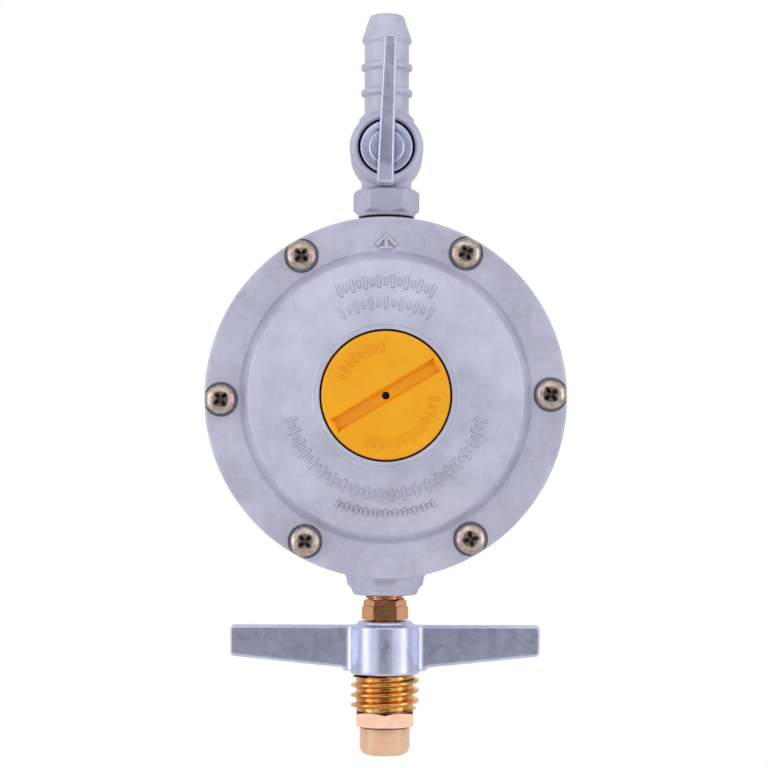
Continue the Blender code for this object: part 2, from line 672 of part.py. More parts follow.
def build_cover():
    """Cover casting, its six screws and the diaphragm that they clamp."""
    edge = FLANGE_RADIUS - COVER_INSET
    cover = turned("cover_casting", [
        (NECK_BORE, NECK_TOP),
        (NECK_TOP_RADIUS, NECK_TOP),
        (NECK_FOOT_RADIUS, CONE_TOP + 1.4),
        (CONE_TOP_RADIUS, CONE_TOP),
        (SHOULDER_TOP_RADIUS - 1.2, SHOULDER + 0.1),
        (SHOULDER_TOP_RADIUS, SHOULDER - 0.5),
        (SHOULDER_FOOT_RADIUS - 0.6, COVER_FACE + 0.3),
        (SHOULDER_FOOT_RADIUS + 0.4, COVER_FACE),
        (edge - 0.5, COVER_FACE),
        (edge, COVER_FACE - 0.5),
        (edge, COVER_BACK),
        (CHAMBER_RADIUS, COVER_BACK),
        (CHAMBER_RADIUS, SHOULDER - COVER_WALL - 0.4),
        (CHAMBER_RADIUS - 2, SHOULDER - COVER_WALL),
        (CONE_TOP_RADIUS + 0.5, CONE_TOP - COVER_WALL),
        (CONE_TOP_RADIUS + 0.5, SKIRT_END),
        (NECK_BORE, SKIRT_END),
    ], FACE, ZINC, FINE)
    cut(cover, ring_of_bars(
        "cover_screw_holes", SCREW_SHANK_RADIUS + THREAD_GAP, COVER_BACK - 1, COVER_FACE + 1, FACE
    ))

    head_top = SCREW_SEAT + SCREW_HEAD_HEIGHT
    head = turned("screw_blank", [
        (0, head_top),
                (SCREW_HEAD_RADIUS * 0.8, head_top - 0.6),
        (SCREW_HEAD_RADIUS, head_top - 1.4),
        (SCREW_HEAD_RADIUS, SCREW_SEAT),
        (SCREW_SHANK_RADIUS, SCREW_SEAT),
        (SCREW_SHANK_RADIUS, SCREW_TIP + 0.8),
        (SCREW_SHANK_RADIUS - 0.8, SCREW_TIP),
        (0, SCREW_TIP),
    ], FACE, steps=14)
    for i, turn in enumerate((0.0, math.pi / 2)):
        cross = box(
            f"screw_cross_{i}",
            (CROSS_SPAN, CROSS_WIDTH, CROSS_DEPTH * 2),
            (0, 0, head_top),
            FACE,
            turn,
        )
        cut(head, cross)
    graph = bpy.context.evaluated_depsgraph_get()
    screw_mesh = bpy.data.meshes.new_from_object(head.evaluated_get(graph))
    screw_mesh.name = "cover_screw"
    screw_mesh.materials.clear()
    for i, (x, y) in enumerate(screw_places()):
        name = f"cover_screw_{i + 1}"
        screw = bpy.data.objects.new(name, screw_mesh)
        screw.parent = FACE
        screw.location = (x * MM, y * MM, 0.0)
        PARTS.objects.link(screw)
        if not screw_mesh.materials:
            screw_mesh.materials.append(new_material("cover_screw", NICKEL))

    slope_start = CHAMBER_RADIUS - 0.7
    reach = slope_start - DIAPHRAGM_FLAT_RADIUS
    bends = 4
    hole = STUD_RADIUS + THREAD_GAP
    slope = [
        (
            DIAPHRAGM_FLAT_RADIUS + reach * i / bends,
            CENTRE_BACK + DIAPHRAGM_DISH * (0.5 - 0.5 * math.cos(math.pi * i / bends)),
        )
        for i in range(bends + 1)
    ]
    edge -= 0.2
    diaphragm = [(hole, CENTRE_BACK)] + slope + [(edge, RIM_BACK), (edge, RIM_FRONT)]
    diaphragm += [(r, h + DIAPHRAGM_THICKNESS) for r, h in slope[::-1]] + [(hole, CENTRE_FRONT)]
    sheet = turned("diaphragm", diaphragm, FACE, RUBBER, 36)
    cut(sheet, ring_of_bars(
        "diaphragm_screw_holes", SCREW_SHANK_RADIUS + THREAD_GAP, RIM_BACK - 1, RIM_FRONT + 1, FACE, 12
    ))


def build_cap_and_adjuster():
    """Vent cap and its screen, the adjusting screw, the spring's upper seat and the main spring."""
    recess = CAP_RADIUS - CAP_SKIRT_WALL
    cap = turned("vent_cap", [
        (0, CAP_FRONT),
        (CAP_RADIUS - CAP_EDGE, CAP_FRONT),
        (CAP_RADIUS, CAP_FRONT - CAP_EDGE),
        (CAP_RADIUS, CAP_SKIRT_END),
        (recess, CAP_SKIRT_END),
        (recess, CAP_UNDERSIDE),
        (0, CAP_UNDERSIDE),
    ], FACE, YELLOW, 36)
    cut(
        cap,
        box(
            "cap_slot",
            (CAP_SLOT_LENGTH, CAP_SLOT_WIDTH, CAP_SLOT_DEPTH * 2),
            (0, 0, CAP_FRONT),
            FACE,
            CAP_SLOT_ANGLE,
        ),
        turned("cap_vent", bar(VENT_RADIUS, CAP_UNDERSIDE - 1, CAP_FRONT + 1), FACE, steps=12),
    )
    turned(
        "vent_screen",
        bar(recess - RUNNING_GAP, SCREEN_FRONT - SCREEN_THICKNESS, SCREEN_FRONT),
        FACE,
        STEEL,
        MEDIUM,
    )

    outer = NECK_BORE - THREAD_GAP
    inner = outer - ADJUSTER_WALL
    adjuster = turned("adjusting_screw", [
        (ADJUSTER_HOLE, ADJUSTER_FRONT),
        (outer, ADJUSTER_FRONT),
        (outer, ADJUSTER_BACK),
        (inner, ADJUSTER_BACK),
        (inner, ADJUSTER_FRONT - ADJUSTER_FLOOR),
        (ADJUSTER_HOLE, ADJUSTER_FRONT - ADJUSTER_FLOOR),
    ], FACE, DARK_PLASTIC, MEDIUM)
    length, width, depth = ADJUSTER_SLOT
    cut(adjuster, box("adjuster_slot", (length, width, depth * 2), (0, 0, ADJUSTER_FRONT), FACE))
    turned(
        "upper_spring_seat",
        tube(UPPER_SEAT_HOLE, inner - RUNNING_GAP, UPPER_SEAT_BACK, UPPER_SEAT_FRONT),
        FACE,
        STEEL,
        COARSE,
    )

    wire = SPRING_WIRE / 2
    low = PLATE_FRONT + SEAT_GAP + wire
    high = UPPER_SEAT_BACK - SEAT_GAP - wire
    count = round(SPRING_TURNS * SPRING_POINTS_PER_TURN)
    curve = bpy.data.curves.new("main_spring", "CURVE")
    curve.dimensions = "3D"
    curve.bevel_depth = wire * MM
    curve.bevel_resolution = 2
    curve.use_fill_caps = True
    spline = curve.splines.new("POLY")
    spline.points.add(count)
    for i, point in enumerate(spline.points):
        turn = 2 * math.pi * SPRING_TURNS * i / count
        height = low + (high - low) * i / count
        x = SPRING_MEAN_RADIUS * math.cos(turn)
        y = SPRING_MEAN_RADIUS * math.sin(turn)
        point.co = (x * MM, y * MM, height * MM, 1.0)
    baked_curve("main_spring", curve, FACE, STEEL)


def build_diaphragm_group():
    """Plate, washer, post and nut at the diaphragm's middle."""
    hole = STUD_RADIUS + THREAD_GAP
    turned("diaphragm_plate", [
        (hole, PLATE_FRONT),
        (PLATE_RADIUS - PLATE_RIM, PLATE_FRONT),
        (PLATE_RADIUS - PLATE_RIM, PLATE_FRONT + PLATE_RIM),
        (PLATE_RADIUS, PLATE_FRONT + PLATE_RIM),
        (PLATE_RADIUS, PLATE_BACK),
        (hole, PLATE_BACK),
    ], FACE, STEEL, MEDIUM)
    turned("backing_washer", tube(hole, WASHER_RADIUS, WASHER_BACK, WASHER_FRONT), FACE, STEEL, COARSE)
    post_end = POST_SHOULDER - POST_END_LENGTH
    stud_end = NUT_FRONT + STUD_SPARE
    post = turned("diaphragm_post", [
        (0, stud_end),
        (STUD_RADIUS, stud_end),
        (STUD_RADIUS, POST_SHOULDER),
        (POST_END_RADIUS, POST_SHOULDER),
        (POST_END_RADIUS, post_end),
        (0, post_end),
    ], FACE, BRASS, COARSE)
    slot_front = -LEVER_TIP_BACK + LEVER_TIP_RADIUS + RUNNING_GAP
    slot_back = -LEVER_TIP_BACK - LEVER_TIP_RADIUS - 3 * RUNNING_GAP
    slot_top = POST_END_RADIUS - 1.4
    slot_bottom = -POST_END_RADIUS - 1
    cut(post, box(
        "post_slot",
        (POST_END_RADIUS * 2 + 2, slot_top - slot_bottom, slot_front - slot_back),
        (0, (slot_top + slot_bottom) / 2, (slot_front + slot_back) / 2),
        FACE,
    ))
    corners = NUT_FLATS / math.cos(math.pi / 6)
    nut = prism("diaphragm_nut", corners, NUT_BACK, NUT_FRONT, FACE, finish=STEEL)
    cut(nut, turned("nut_bore", bar(hole, NUT_BACK - 1, NUT_FRONT + 1), FACE, steps=16))


def build_valve():
    """Lever and its pin, the pad with its holder, and the orifice nozzle."""
    half = LEVER_THICKNESS / 2
    tip_y = LEVER_TIP_BACK - PIN_BACK
    tip_z = PIN_DROP
    tip_side = math.degrees(math.asin(half / LEVER_TIP_RADIUS))
    finger_side = math.degrees(math.asin(half / LEVER_FINGER_TIP_RADIUS))
    low_bend = PIN_DROP * 0.41
    high_bend = PIN_DROP * 0.71
    outline = [(half, -half), (half, 0), (half - 0.5, low_bend + 0.4), (tip_y + half, high_bend + 0.4)]
    outline += arc((tip_y, tip_z), LEVER_TIP_RADIUS, tip_side - 90, 270 - tip_side, 8)
    outline += [(tip_y - half, high_bend - 0.4), (-half - 0.5, low_bend - 0.4), (-half, half)]
    outline += arc((-PIN_BACK, 0), LEVER_FINGER_TIP_RADIUS, finger_side, 360 - finger_side, 8)
    lever = plate("valve_lever", outline, LEVER_WIDTH, PIVOT, ZINC)
    hub_half = HOLDER_RADIUS
    join(lever, turned("lever_hub", bar(LEVER_HUB_RADIUS, -hub_half, hub_half), PIVOT, steps=20))
    cut(lever, turned(
        "lever_bore", bar(PIN_RADIUS + THREAD_GAP / 2, -PIN_LENGTH, PIN_LENGTH), PIVOT, steps=16
    ))
    turned("lever_pin", bar(PIN_RADIUS, -PIN_LENGTH / 2, PIN_LENGTH / 2), PIVOT, STEEL, 16)

    recess = PAD_RADIUS + RUNNING_GAP
    holder_bottom = PAD_BOTTOM + PAD_BELOW_HOLDER
    recess_top = PAD_TOP + SEAT_GAP
    holder_top = PIN_HEIGHT + HOLDER_TOP
    holder = turned("pad_holder", [
        (0, holder_top),
        (HOLDER_RADIUS, holder_top),
        (HOLDER_RADIUS, holder_bottom),
        (recess, holder_bottom),
        (recess, recess_top),
        (0, recess_top),
    ], FLOW, BRASS, COARSE)
    cut(holder, box(
        "holder_slot",
        (LEVER_WIDTH + 2 * RUNNING_GAP, HOLDER_RADIUS * 2 + 2, HOLDER_SLOT),
        (0, 0, PIN_HEIGHT),
        FLOW,
    ))
    turned("seat_pad", bar(PAD_RADIUS, PAD_BOTTOM, PAD_TOP), FLOW, RUBBER, COARSE)
    turned("orifice_nozzle", [
        (NOZZLE_BORE, NOZZLE_TIP),
        (NOZZLE_TIP_RADIUS, NOZZLE_TIP),
        (NOZZLE_TIP_RADIUS + 0.6, NOZZLE_SEAT_FACE + NOZZLE_HEAD_HEIGHT),
        (NOZZLE_HEAD_RADIUS, NOZZLE_SEAT_FACE + NOZZLE_HEAD_HEIGHT),
        (NOZZLE_HEAD_RADIUS, NOZZLE_SEAT_FACE),
        (NOZZLE_THREAD_RADIUS, NOZZLE_SEAT_FACE),
        (NOZZLE_THREAD_RADIUS, NOZZLE_BOTTOM),
        (NOZZLE_BORE, NOZZLE_BOTTOM),
    ], FLOW, BRASS, COARSE)


def build_outlet():
    """Seal ring, cock body with its hose tail, and the plug with its lever and fastening."""
    turned(
        "outlet_seal_ring",
        tube(
            OUTLET_STEM_RADIUS + THREAD_GAP,
            OUTLET_COLLAR_RADIUS - 0.1,
            SEAL_RING_BOTTOM,
            SEAL_RING_BOTTOM + SEAL_RING_HEIGHT,
        ),
        FLOW,
        FIBRE,
        COARSE,
    )
    cone_foot = TAIL_TOP - TAIL_CONE_LENGTH
    profile = [
        (0, TAIL_TOP),
        (TAIL_CONE_TIP_RADIUS, TAIL_TOP),
        (TAIL_CONE_FOOT_RADIUS, cone_foot),
        (TAIL_SHANK_RADIUS, cone_foot - 0.7),
    ]
    for place in TAIL_RIDGE_PLACES:
        centre = cone_foot - place + TAIL_RIDGE_PLACES[0] / 2
        profile += [(TAIL_SHANK_RADIUS, centre + TAIL_RIDGE_HALF), (TAIL_RIDGE_RADIUS, centre + 0.3)]
        profile += [(TAIL_RIDGE_RADIUS, centre - 0.3), (TAIL_SHANK_RADIUS, centre - TAIL_RIDGE_HALF)]
    profile += [
        (TAIL_SHANK_RADIUS, COCK + BARREL_RADIUS - 1),
        (OUTLET_NECK_RADIUS, COCK),
        (OUTLET_NECK_RADIUS, OUTLET_HEX_BOTTOM + 0.5),
        (OUTLET_COLLAR_RADIUS, OUTLET_HEX_BOTTOM + 0.5),
        (OUTLET_COLLAR_RADIUS, OUTLET_COLLAR_BOTTOM),
        (OUTLET_STEM_RADIUS, OUTLET_COLLAR_BOTTOM),
        (OUTLET_STEM_RADIUS, OUTLET_COLLAR_BOTTOM - OUTLET_STEM_LENGTH),
        (0, OUTLET_COLLAR_BOTTOM - OUTLET_STEM_LENGTH),
    ]
    cock = turned("outlet_valve_body", profile, FLOW, ZINC, 26)
    rear_inside = -BARREL_BACK + BARREL_REAR_WALL
    plug_bore = PLUG_RADIUS + PLUG_BORE_GAP
    stub_hole = PLUG_STUB_RADIUS + RUNNING_GAP
    join(
        cock,
        prism(
            "outlet_hex", OUTLET_HEX_CORNERS, OUTLET_HEX_BOTTOM, OUTLET_HEX_TOP, FLOW, turn=FLAT_FORWARD
        ),
        turned("barrel", [
            (0, BARREL_FRONT),
            (BARREL_RADIUS - 0.8, BARREL_FRONT),
            (BARREL_RADIUS, BARREL_FRONT - 0.8),
            (BARREL_RADIUS, -BARREL_BACK + 0.6),
            (BARREL_RADIUS - 0.6, -BARREL_BACK),
            (0, -BARREL_BACK),
        ], TAP),
    )
    gas_bore = turned(
        "outlet_gas_bore",
        bar(OUTLET_BORE, OUTLET_COLLAR_BOTTOM - OUTLET_STEM_LENGTH - 1, TAIL_TOP + 1),
        FLOW,
        steps=18,
    )
    chamber = turned("plug_chamber", [
        (0, BARREL_FRONT + 1),
        (plug_bore, BARREL_FRONT + 1),
        (plug_bore, rear_inside),
        (stub_hole, rear_inside),
        (stub_hole, -BARREL_BACK - 1),
        (0, -BARREL_BACK - 1),
    ], TAP)
    cut(cock, gas_bore, chamber)

    plug_back = rear_inside + SEAT_GAP
    stub_end = -BARREL_BACK - SEAT_GAP
    groove = PLUG_GROOVE_WIDTH / 2
    plug_profile = [
        (0, BARREL_FRONT - 0.1),
        (PLUG_RADIUS - 0.6, BARREL_FRONT - 0.4),
        (PLUG_RADIUS, BARREL_FRONT - 0.9),
    ]
    for place in (PLUG_GROOVE_PLACE, -PLUG_GROOVE_PLACE + 0.4):
        plug_profile += [(PLUG_RADIUS, place + groove), (PLUG_GROOVE_FLOOR, place + groove)]
        plug_profile += [(PLUG_GROOVE_FLOOR, place - groove), (PLUG_RADIUS, place - groove)]
    plug_profile += [
        (PLUG_RADIUS, plug_back),
        (PLUG_STUB_RADIUS, plug_back),
        (PLUG_STUB_RADIUS, stub_end),
        (0, stub_end),
    ]
    plug = turned("shutoff_plug", plug_profile, TAP, ZINC, 26)
    face = BARREL_FRONT
    tip = face + BLADE_FRONT
    blade = [
        (-BLADE_BELOW, face + 4.2),
        (-BLADE_BELOW + 1.6, face + 2.6),
        (-PLUG_RADIUS + 0.3, face + 0.6),
        (-PLUG_RADIUS + 0.8, face - 1.6),
        (PLUG_RADIUS - 0.8, face - 1.6),
        (PLUG_RADIUS - 0.3, face + 0.6),
        (PLUG_RADIUS + 2.8, face + 3.0),
        (BLADE_ABOVE, face + 5.2),
        (BLADE_ABOVE, tip - 1.3),
        (BLADE_ABOVE - 0.6, tip - 0.8),
        (PLUG_RADIUS, tip),
        (-PLUG_RADIUS + 1, tip - 0.3),
        (-BLADE_BELOW + 0.5, tip - 1.8),
        (-BLADE_BELOW, tip - 2.6),
    ]
    join(plug, plate("lever_blade", [(-f, z) for z, f in blade], BLADE_THICKNESS, BLADE))
    port = turned("plug_port", bar(PLUG_PORT, COCK - 2 * PLUG_RADIUS, COCK + 2 * PLUG_RADIUS), FLOW, steps=20)
    screw_hole = PLUG_SCREW_SHANK + THREAD_GAP
    screw_end = stub_end + 3.0
    cut(plug, port, turned("plug_screw_hole", bar(screw_hole, stub_end - 1, screw_end), TAP, steps=16))

    middle = (PLUG_GROOVE_FLOOR + plug_bore) / 2
    for name, place in (
        ("plug_oring_front", PLUG_GROOVE_PLACE),
        ("plug_oring_rear", -PLUG_GROOVE_PLACE + 0.4),
    ):
        ring = arc((middle, place), ORING_SECTION, 0, 300, 5)
        turned(name, ring, TAP, RUBBER, COARSE)
    washer_face = stub_end - SEAT_GAP / 2
    hole = PLUG_SCREW_SHANK + THREAD_GAP
    turned("plug_spring_washer", [
        (SPRING_WASHER_RADIUS, washer_face),
        (SPRING_WASHER_RADIUS, washer_face - SPRING_WASHER_THICKNESS),
        (hole, washer_face - SPRING_WASHER_THICKNESS - SPRING_WASHER_CONE),
        (hole, washer_face - SPRING_WASHER_CONE),
    ], TAP, STEEL, COARSE)
    head_face = washer_face - SPRING_WASHER_THICKNESS - SPRING_WASHER_CONE - SEAT_GAP
    turned("plug_screw", [
        (0, screw_end - SEAT_GAP),
        (PLUG_SCREW_SHANK, screw_end - SEAT_GAP),
        (PLUG_SCREW_SHANK, head_face),
        (PLUG_SCREW_HEAD, head_face),
        (PLUG_SCREW_HEAD, head_face - PLUG_SCREW_HEAD_HEIGHT + 0.5),
        (PLUG_SCREW_HEAD - 0.7, head_face - PLUG_SCREW_HEAD_HEIGHT),
        (0, head_face - PLUG_SCREW_HEAD_HEIGHT),
    ], TAP, STEEL, 20)


for leftover in list(bpy.data.objects):
    bpy.data.objects.remove(leftover)

PARTS = new_collection("gas_regulator")
CUTTERS = new_collection("cutters")
QUARTER = math.pi / 2
FLAT_FORWARD = math.pi / 6
FLOW = new_empty("flow_axis", (0, 0, 0))
WINGS = new_empty("wing_plane", (0, 0, 0), (QUARTER, 0, 0))
FACE = new_empty("face_axis", (0, 0, CENTRE), (QUARTER, 0, 0))
TAP = new_empty("tap_axis", (0, 0, COCK), (QUARTER, 0, 0))
BLADE = new_empty("blade_plane", (0, 0, COCK), (QUARTER, 0, QUARTER))
PIVOT = new_empty("lever_axis", (0, PIN_BACK, PIN_HEIGHT), (QUARTER, 0, QUARTER))

build_inlet()
build_body()
build_cover()
build_cap_and_adjuster()
build_diaphragm_group()
build_valve()
build_outlet()
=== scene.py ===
"""Looks of a low-pressure gas regulator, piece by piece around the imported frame.

Sizes are in millimetres and turned into metres by MM. Z runs up the flow axis, and the round cover looks
along -Y. A height "forward" is a distance along -Y from the flow axis.
"""

from __future__ import annotations

import json
import logging
import math
from dataclasses import dataclass
from enum import Enum
from typing import Callable, Sequence

import bmesh
import bpy
from mathutils import Matrix, Vector


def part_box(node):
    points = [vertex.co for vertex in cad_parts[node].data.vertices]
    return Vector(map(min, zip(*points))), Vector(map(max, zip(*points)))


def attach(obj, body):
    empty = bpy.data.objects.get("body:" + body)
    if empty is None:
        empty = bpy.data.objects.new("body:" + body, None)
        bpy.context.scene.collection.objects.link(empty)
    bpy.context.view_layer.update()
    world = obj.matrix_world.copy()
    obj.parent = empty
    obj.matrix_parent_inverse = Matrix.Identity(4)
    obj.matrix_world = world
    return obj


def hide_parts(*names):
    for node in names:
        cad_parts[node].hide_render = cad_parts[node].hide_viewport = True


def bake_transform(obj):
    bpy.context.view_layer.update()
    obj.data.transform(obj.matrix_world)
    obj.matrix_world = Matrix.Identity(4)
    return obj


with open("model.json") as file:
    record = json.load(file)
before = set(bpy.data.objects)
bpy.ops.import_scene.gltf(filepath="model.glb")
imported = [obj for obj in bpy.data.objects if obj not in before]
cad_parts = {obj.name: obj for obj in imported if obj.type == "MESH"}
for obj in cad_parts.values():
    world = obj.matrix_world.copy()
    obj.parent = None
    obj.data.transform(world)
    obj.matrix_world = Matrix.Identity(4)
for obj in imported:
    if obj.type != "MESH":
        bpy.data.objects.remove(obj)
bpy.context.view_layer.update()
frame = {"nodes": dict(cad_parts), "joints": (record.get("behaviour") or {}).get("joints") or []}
LOG = logging.getLogger("regulator")

MM = 0.001
ON_AXIS = 1e-6
FILLET_SHARE = 0.48
Point = tuple[float, float]
Corner = tuple[float, float, float]
Spot = tuple[float, float, float]
Bar = tuple[float, float, float, float]


class Way(Enum):
    """Direction that a shape's own height runs in."""

    UP = "up"
    FORWARD = "forward"
    ACROSS = "across"


class Ends(Enum):
    """How a stack of rings is closed."""

    POINTED = "pointed"
    CAPPED = "capped"
    JOINED = "joined"


def place(way: Way, origin: Spot = (0.0, 0.0, 0.0)) -> Matrix:
    """Matrix from a shape's own millimetres to world metres.

    Args:
        way: direction of the shape's own Z.
        origin: world place of the shape's own origin, in millimetres.

    Returns:
        The matrix, with the change of unit in it.
    """
    turns = {
        Way.UP: Matrix.Identity(4),
        Way.FORWARD: Matrix.Rotation(math.pi / 2, 4, "X"),
        Way.ACROSS: Matrix.Rotation(math.pi / 2, 4, "Z") @ Matrix.Rotation(math.pi / 2, 4, "X"),
    }
    return Matrix.Scale(MM, 4) @ Matrix.Translation(Vector(origin)) @ turns[way]


def joint_place(name: str) -> Vector:
    """Place of a joint of the frame, in millimetres."""
    found = next(joint for joint in frame["joints"] if joint["name"] == name)
    return Vector(found["pos_m"]) / MM


def span(node: str) -> tuple[Vector, Vector]:
    """Lowest and highest corner of a node of the frame, in millimetres."""
    low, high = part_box(node)
    return Vector(low) / MM, Vector(high) / MM


def rounded(corners: Sequence[Corner], closed: bool = True, steps: int = 5) -> list[Point]:
    """Round the corners of an outline.

    Args:
        corners: x, y and fillet radius of each corner.
        closed: whether the last corner leads back to the first.
        steps: points along each fillet.

    Returns:
        The outline's points.
    """
    points: list[Point] = []
    last = len(corners) - 1
    for i, (x, y, radius) in enumerate(corners):
        if radius == 0 or (not closed and i in (0, last)):
            points.append((x, y))
            continue
        here = Vector((x, y))
        back = Vector(corners[i - 1][:2]) - here
        ahead = Vector(corners[(i + 1) % len(corners)][:2]) - here
        half = back.angle(ahead) / 2
        reach = min(radius / math.tan(half), FILLET_SHARE * back.length, FILLET_SHARE * ahead.length)
        radius = reach * math.tan(half)
        middle = here + (back.normalized() + ahead.normalized()).normalized() * (radius / math.sin(half))
        start = here + back.normalized() * reach - middle
        sweep = start.angle_signed(here + ahead.normalized() * reach - middle)
        for step in range(steps + 1):
            turned = Matrix.Rotation(-sweep * step / steps, 2) @ start + middle
            points.append((turned.x, turned.y))
    return points


def circle(radius: float, count: int, start: float = 0.0) -> list[Point]:
    """Points round a circle.

    Args:
        radius: radius in millimetres.
        count: number of points.
        start: angle of the first point.

    Returns:
        The points, counter-clockwise.
    """
    turns = [start + 2 * math.pi * i / count for i in range(count)]
    return [(radius * math.cos(a), radius * math.sin(a)) for a in turns]


def swung(points: Sequence[Point], angle: float) -> list[Point]:
    """Points turned about the origin.

    Args:
        points: the points.
        angle: the angle.

    Returns:
        The turned points.
    """
    c, s = math.cos(angle), math.sin(angle)
    return [(x * c - y * s, x * s + y * c) for x, y in points]


def ovals(tiers: Sequence[Spot], count: int, start: float = 0.0) -> list[list[Spot]]:
    """Oval sections for a loft.

    Args:
        tiers: height, half width and half depth of each section.
        count: points of each section.
        start: angle of the first point.

    Returns:
        The sections.
    """
    ring = circle(1.0, count, start)
    return [[(x * wide, y * deep, height) for x, y in ring] for height, wide, deep in tiers]


def skin(shape: bmesh.types.BMesh, rings: Sequence[Sequence[Spot]], ends: Ends) -> None:
    """Cover a stack of rings with faces.

    Args:
        shape: the mesh that takes them.
        rings: rings of as many points each. A ring on the axis is one point, repeated.
        ends: how the stack is closed.
    """
    stack = []
    for ring in rings:
        if len(set(ring)) == 1:
            stack.append([shape.verts.new(ring[0])] * len(ring))
        else:
            stack.append([shape.verts.new(at) for at in ring])
    following = stack[1:] + (stack[:1] if ends is Ends.JOINED else [])
    for low, high in zip(stack, following):
        for i in range(len(low)):
            j = (i + 1) % len(low)
            corners = list(dict.fromkeys((low[i], low[j], high[j], high[i])))
            if len(corners) > 2:
                shape.faces.new(corners)
    if ends is Ends.CAPPED:
        shape.faces.new(stack[0][::-1])
        shape.faces.new(stack[-1])


class Solid:
    """A closed mesh object that is built up by turning, lofting and Boolean steps."""

    def __init__(self, name: str, shape: bmesh.types.BMesh, where: Matrix) -> None:
        """Make the object from a shape.

        Args:
            name: the object's name.
            shape: the shape, in its own millimetres; it is freed.
            where: matrix to world metres.
        """
        bmesh.ops.transform(shape, matrix=where, verts=shape.verts)
        bmesh.ops.recalc_face_normals(shape, faces=shape.faces)
        mesh = bpy.data.meshes.new(name)
        shape.to_mesh(mesh)
        shape.free()
        self.obj = bpy.data.objects.new(name, mesh)
        bpy.context.scene.collection.objects.link(self.obj)

    @classmethod
    def turned(cls, name: str, profile: Sequence[Point], where: Matrix, steps: int = 96) -> Solid:
        """Turn a profile about the shape's own Z.

        Args:
            name: the object's name.
            profile: points of radius and height. One that starts and ends at radius 0 is solid, and any
                other is a closed ring section.
            where: matrix to world metres.
            steps: steps round the axis.

        Returns:
            The solid.
        """
        shape = bmesh.new()
        rings = []
        for radius, height in profile:
            radius = radius if radius > ON_AXIS else 0.0
            rings.append([(x, y, height) for x, y in circle(radius, steps)])
        solid = max(profile[0][0], profile[-1][0]) < ON_AXIS
        skin(shape, rings, Ends.POINTED if solid else Ends.JOINED)
        return cls(name, shape, where)

    @classmethod
    def lofted(cls, name: str, sections: Sequence[Sequence[Spot]], where: Matrix) -> Solid:
        """Join sections of as many points each, and cap both ends.

        Args:
            name: the object's name.
            sections: rings of points, in order.
            where: matrix to world metres.

        Returns:
            The solid.
        """
        shape = bmesh.new()
        skin(shape, sections, Ends.CAPPED)
        return cls(name, shape, where)

    @classmethod
    def slab(cls, name: str, outline: Sequence[Point], low: float, high: float, where: Matrix) -> Solid:
        """Straight-sided solid between two heights.

        Args:
            name: the object's name.
            outline: points in the shape's own XY.
            low: lower height.
            high: upper height.
            where: matrix to world metres.

        Returns:
            The solid.
        """
        return cls.lofted(name, [[(x, y, h) for x, y in outline] for h in (low, high)], where)

    @classmethod
    def bar(cls, name: str, radius: float, low: float, high: float, where: Matrix, steps: int = 64) -> Solid:
        """Plain round bar, for a bore or a boss.

        Args:
            name: the object's name.
            radius: its radius.
            low: lower height.
            high: upper height.
            where: matrix to world metres.
            steps: steps round the axis.

        Returns:
            The solid.
        """
        return cls.turned(name, [(0, high), (radius, high), (radius, low), (0, low)], where, steps)

    @classmethod
    def hexagon(
        cls, name: str, corners: float, low: float, high: float, chamfer: Point, turn: float = 0.0
    ) -> Solid:
        """Hexagonal prism up the flow axis, with turned chamfers at its corners.

        Args:
            name: the object's name.
            corners: width over the corners.
            low: lower height.
            high: upper height.
            chamfer: height of the chamfer at the bottom and at the top.
            turn: angle of the first corner.

        Returns:
            The solid.
        """
        made = cls.slab(name, circle(corners / 2, 6, turn), low, high, place(Way.UP))
        flat = corners / 2 * math.cos(math.pi / 6)
        bottom, top = chamfer
        envelope = [
            (0, high), (flat - 0.1, high), (corners / 2 + 0.05, high - top - 0.05),
            (corners / 2 + 0.05, low + bottom + 0.05), (flat - 0.1, low), (0, low),
        ]
        return made.keep(cls.turned(name + "_envelope", envelope, place(Way.UP), 96))

    def bake(self) -> None:
        """Apply the object's modifiers to its mesh."""
        graph = bpy.context.evaluated_depsgraph_get()
        baked = bpy.data.meshes.new_from_object(self.obj.evaluated_get(graph))
        old = self.obj.data
        self.obj.modifiers.clear()
        self.obj.data = baked
        bpy.data.meshes.remove(old)
        baked.name = self.obj.name

    def _combine(self, operation: str, others: Sequence[Solid]) -> Solid:
        """Run Boolean steps and delete the other solids.

        Args:
            operation: UNION, DIFFERENCE or INTERSECT.
            others: the other solids.

        Returns:
            This solid.
        """
        for other in others:
            step = self.obj.modifiers.new(operation, "BOOLEAN")
            step.operation = operation
            step.solver = "EXACT"
            step.object = other.obj
            self.bake()
            other.drop()
        return self

    def add(self, *others: Solid) -> Solid:
        """Unite other solids with this one."""
        return self._combine("UNION", others)

    def cut(self, *others: Solid) -> Solid:
        """Take other solids out of this one."""
        return self._combine("DIFFERENCE", others)

    def keep(self, *others: Solid) -> Solid:
        """Keep what lies inside the other solids."""
        return self._combine("INTERSECT", others)

    def drop(self) -> None:
        """Delete the object."""
        mesh = self.obj.data
        bpy.data.objects.remove(self.obj)
        bpy.data.meshes.remove(mesh)

    def cast(self, voxel: float, rounds: int) -> Solid:
        """Give the solid the soft inner and outer corners of a casting.

        Args:
            voxel: size of the new mesh's cells, in millimetres.
            rounds: smoothing passes.

        Returns:
            This solid.
        """
        step = self.obj.modifiers.new("cells", "REMESH")
        step.mode = "VOXEL"
        step.voxel_size = voxel * MM
        smooth = self.obj.modifiers.new("soft", "SMOOTH")
        smooth.factor = 0.5
        smooth.iterations = rounds
        self.bake()
        return self

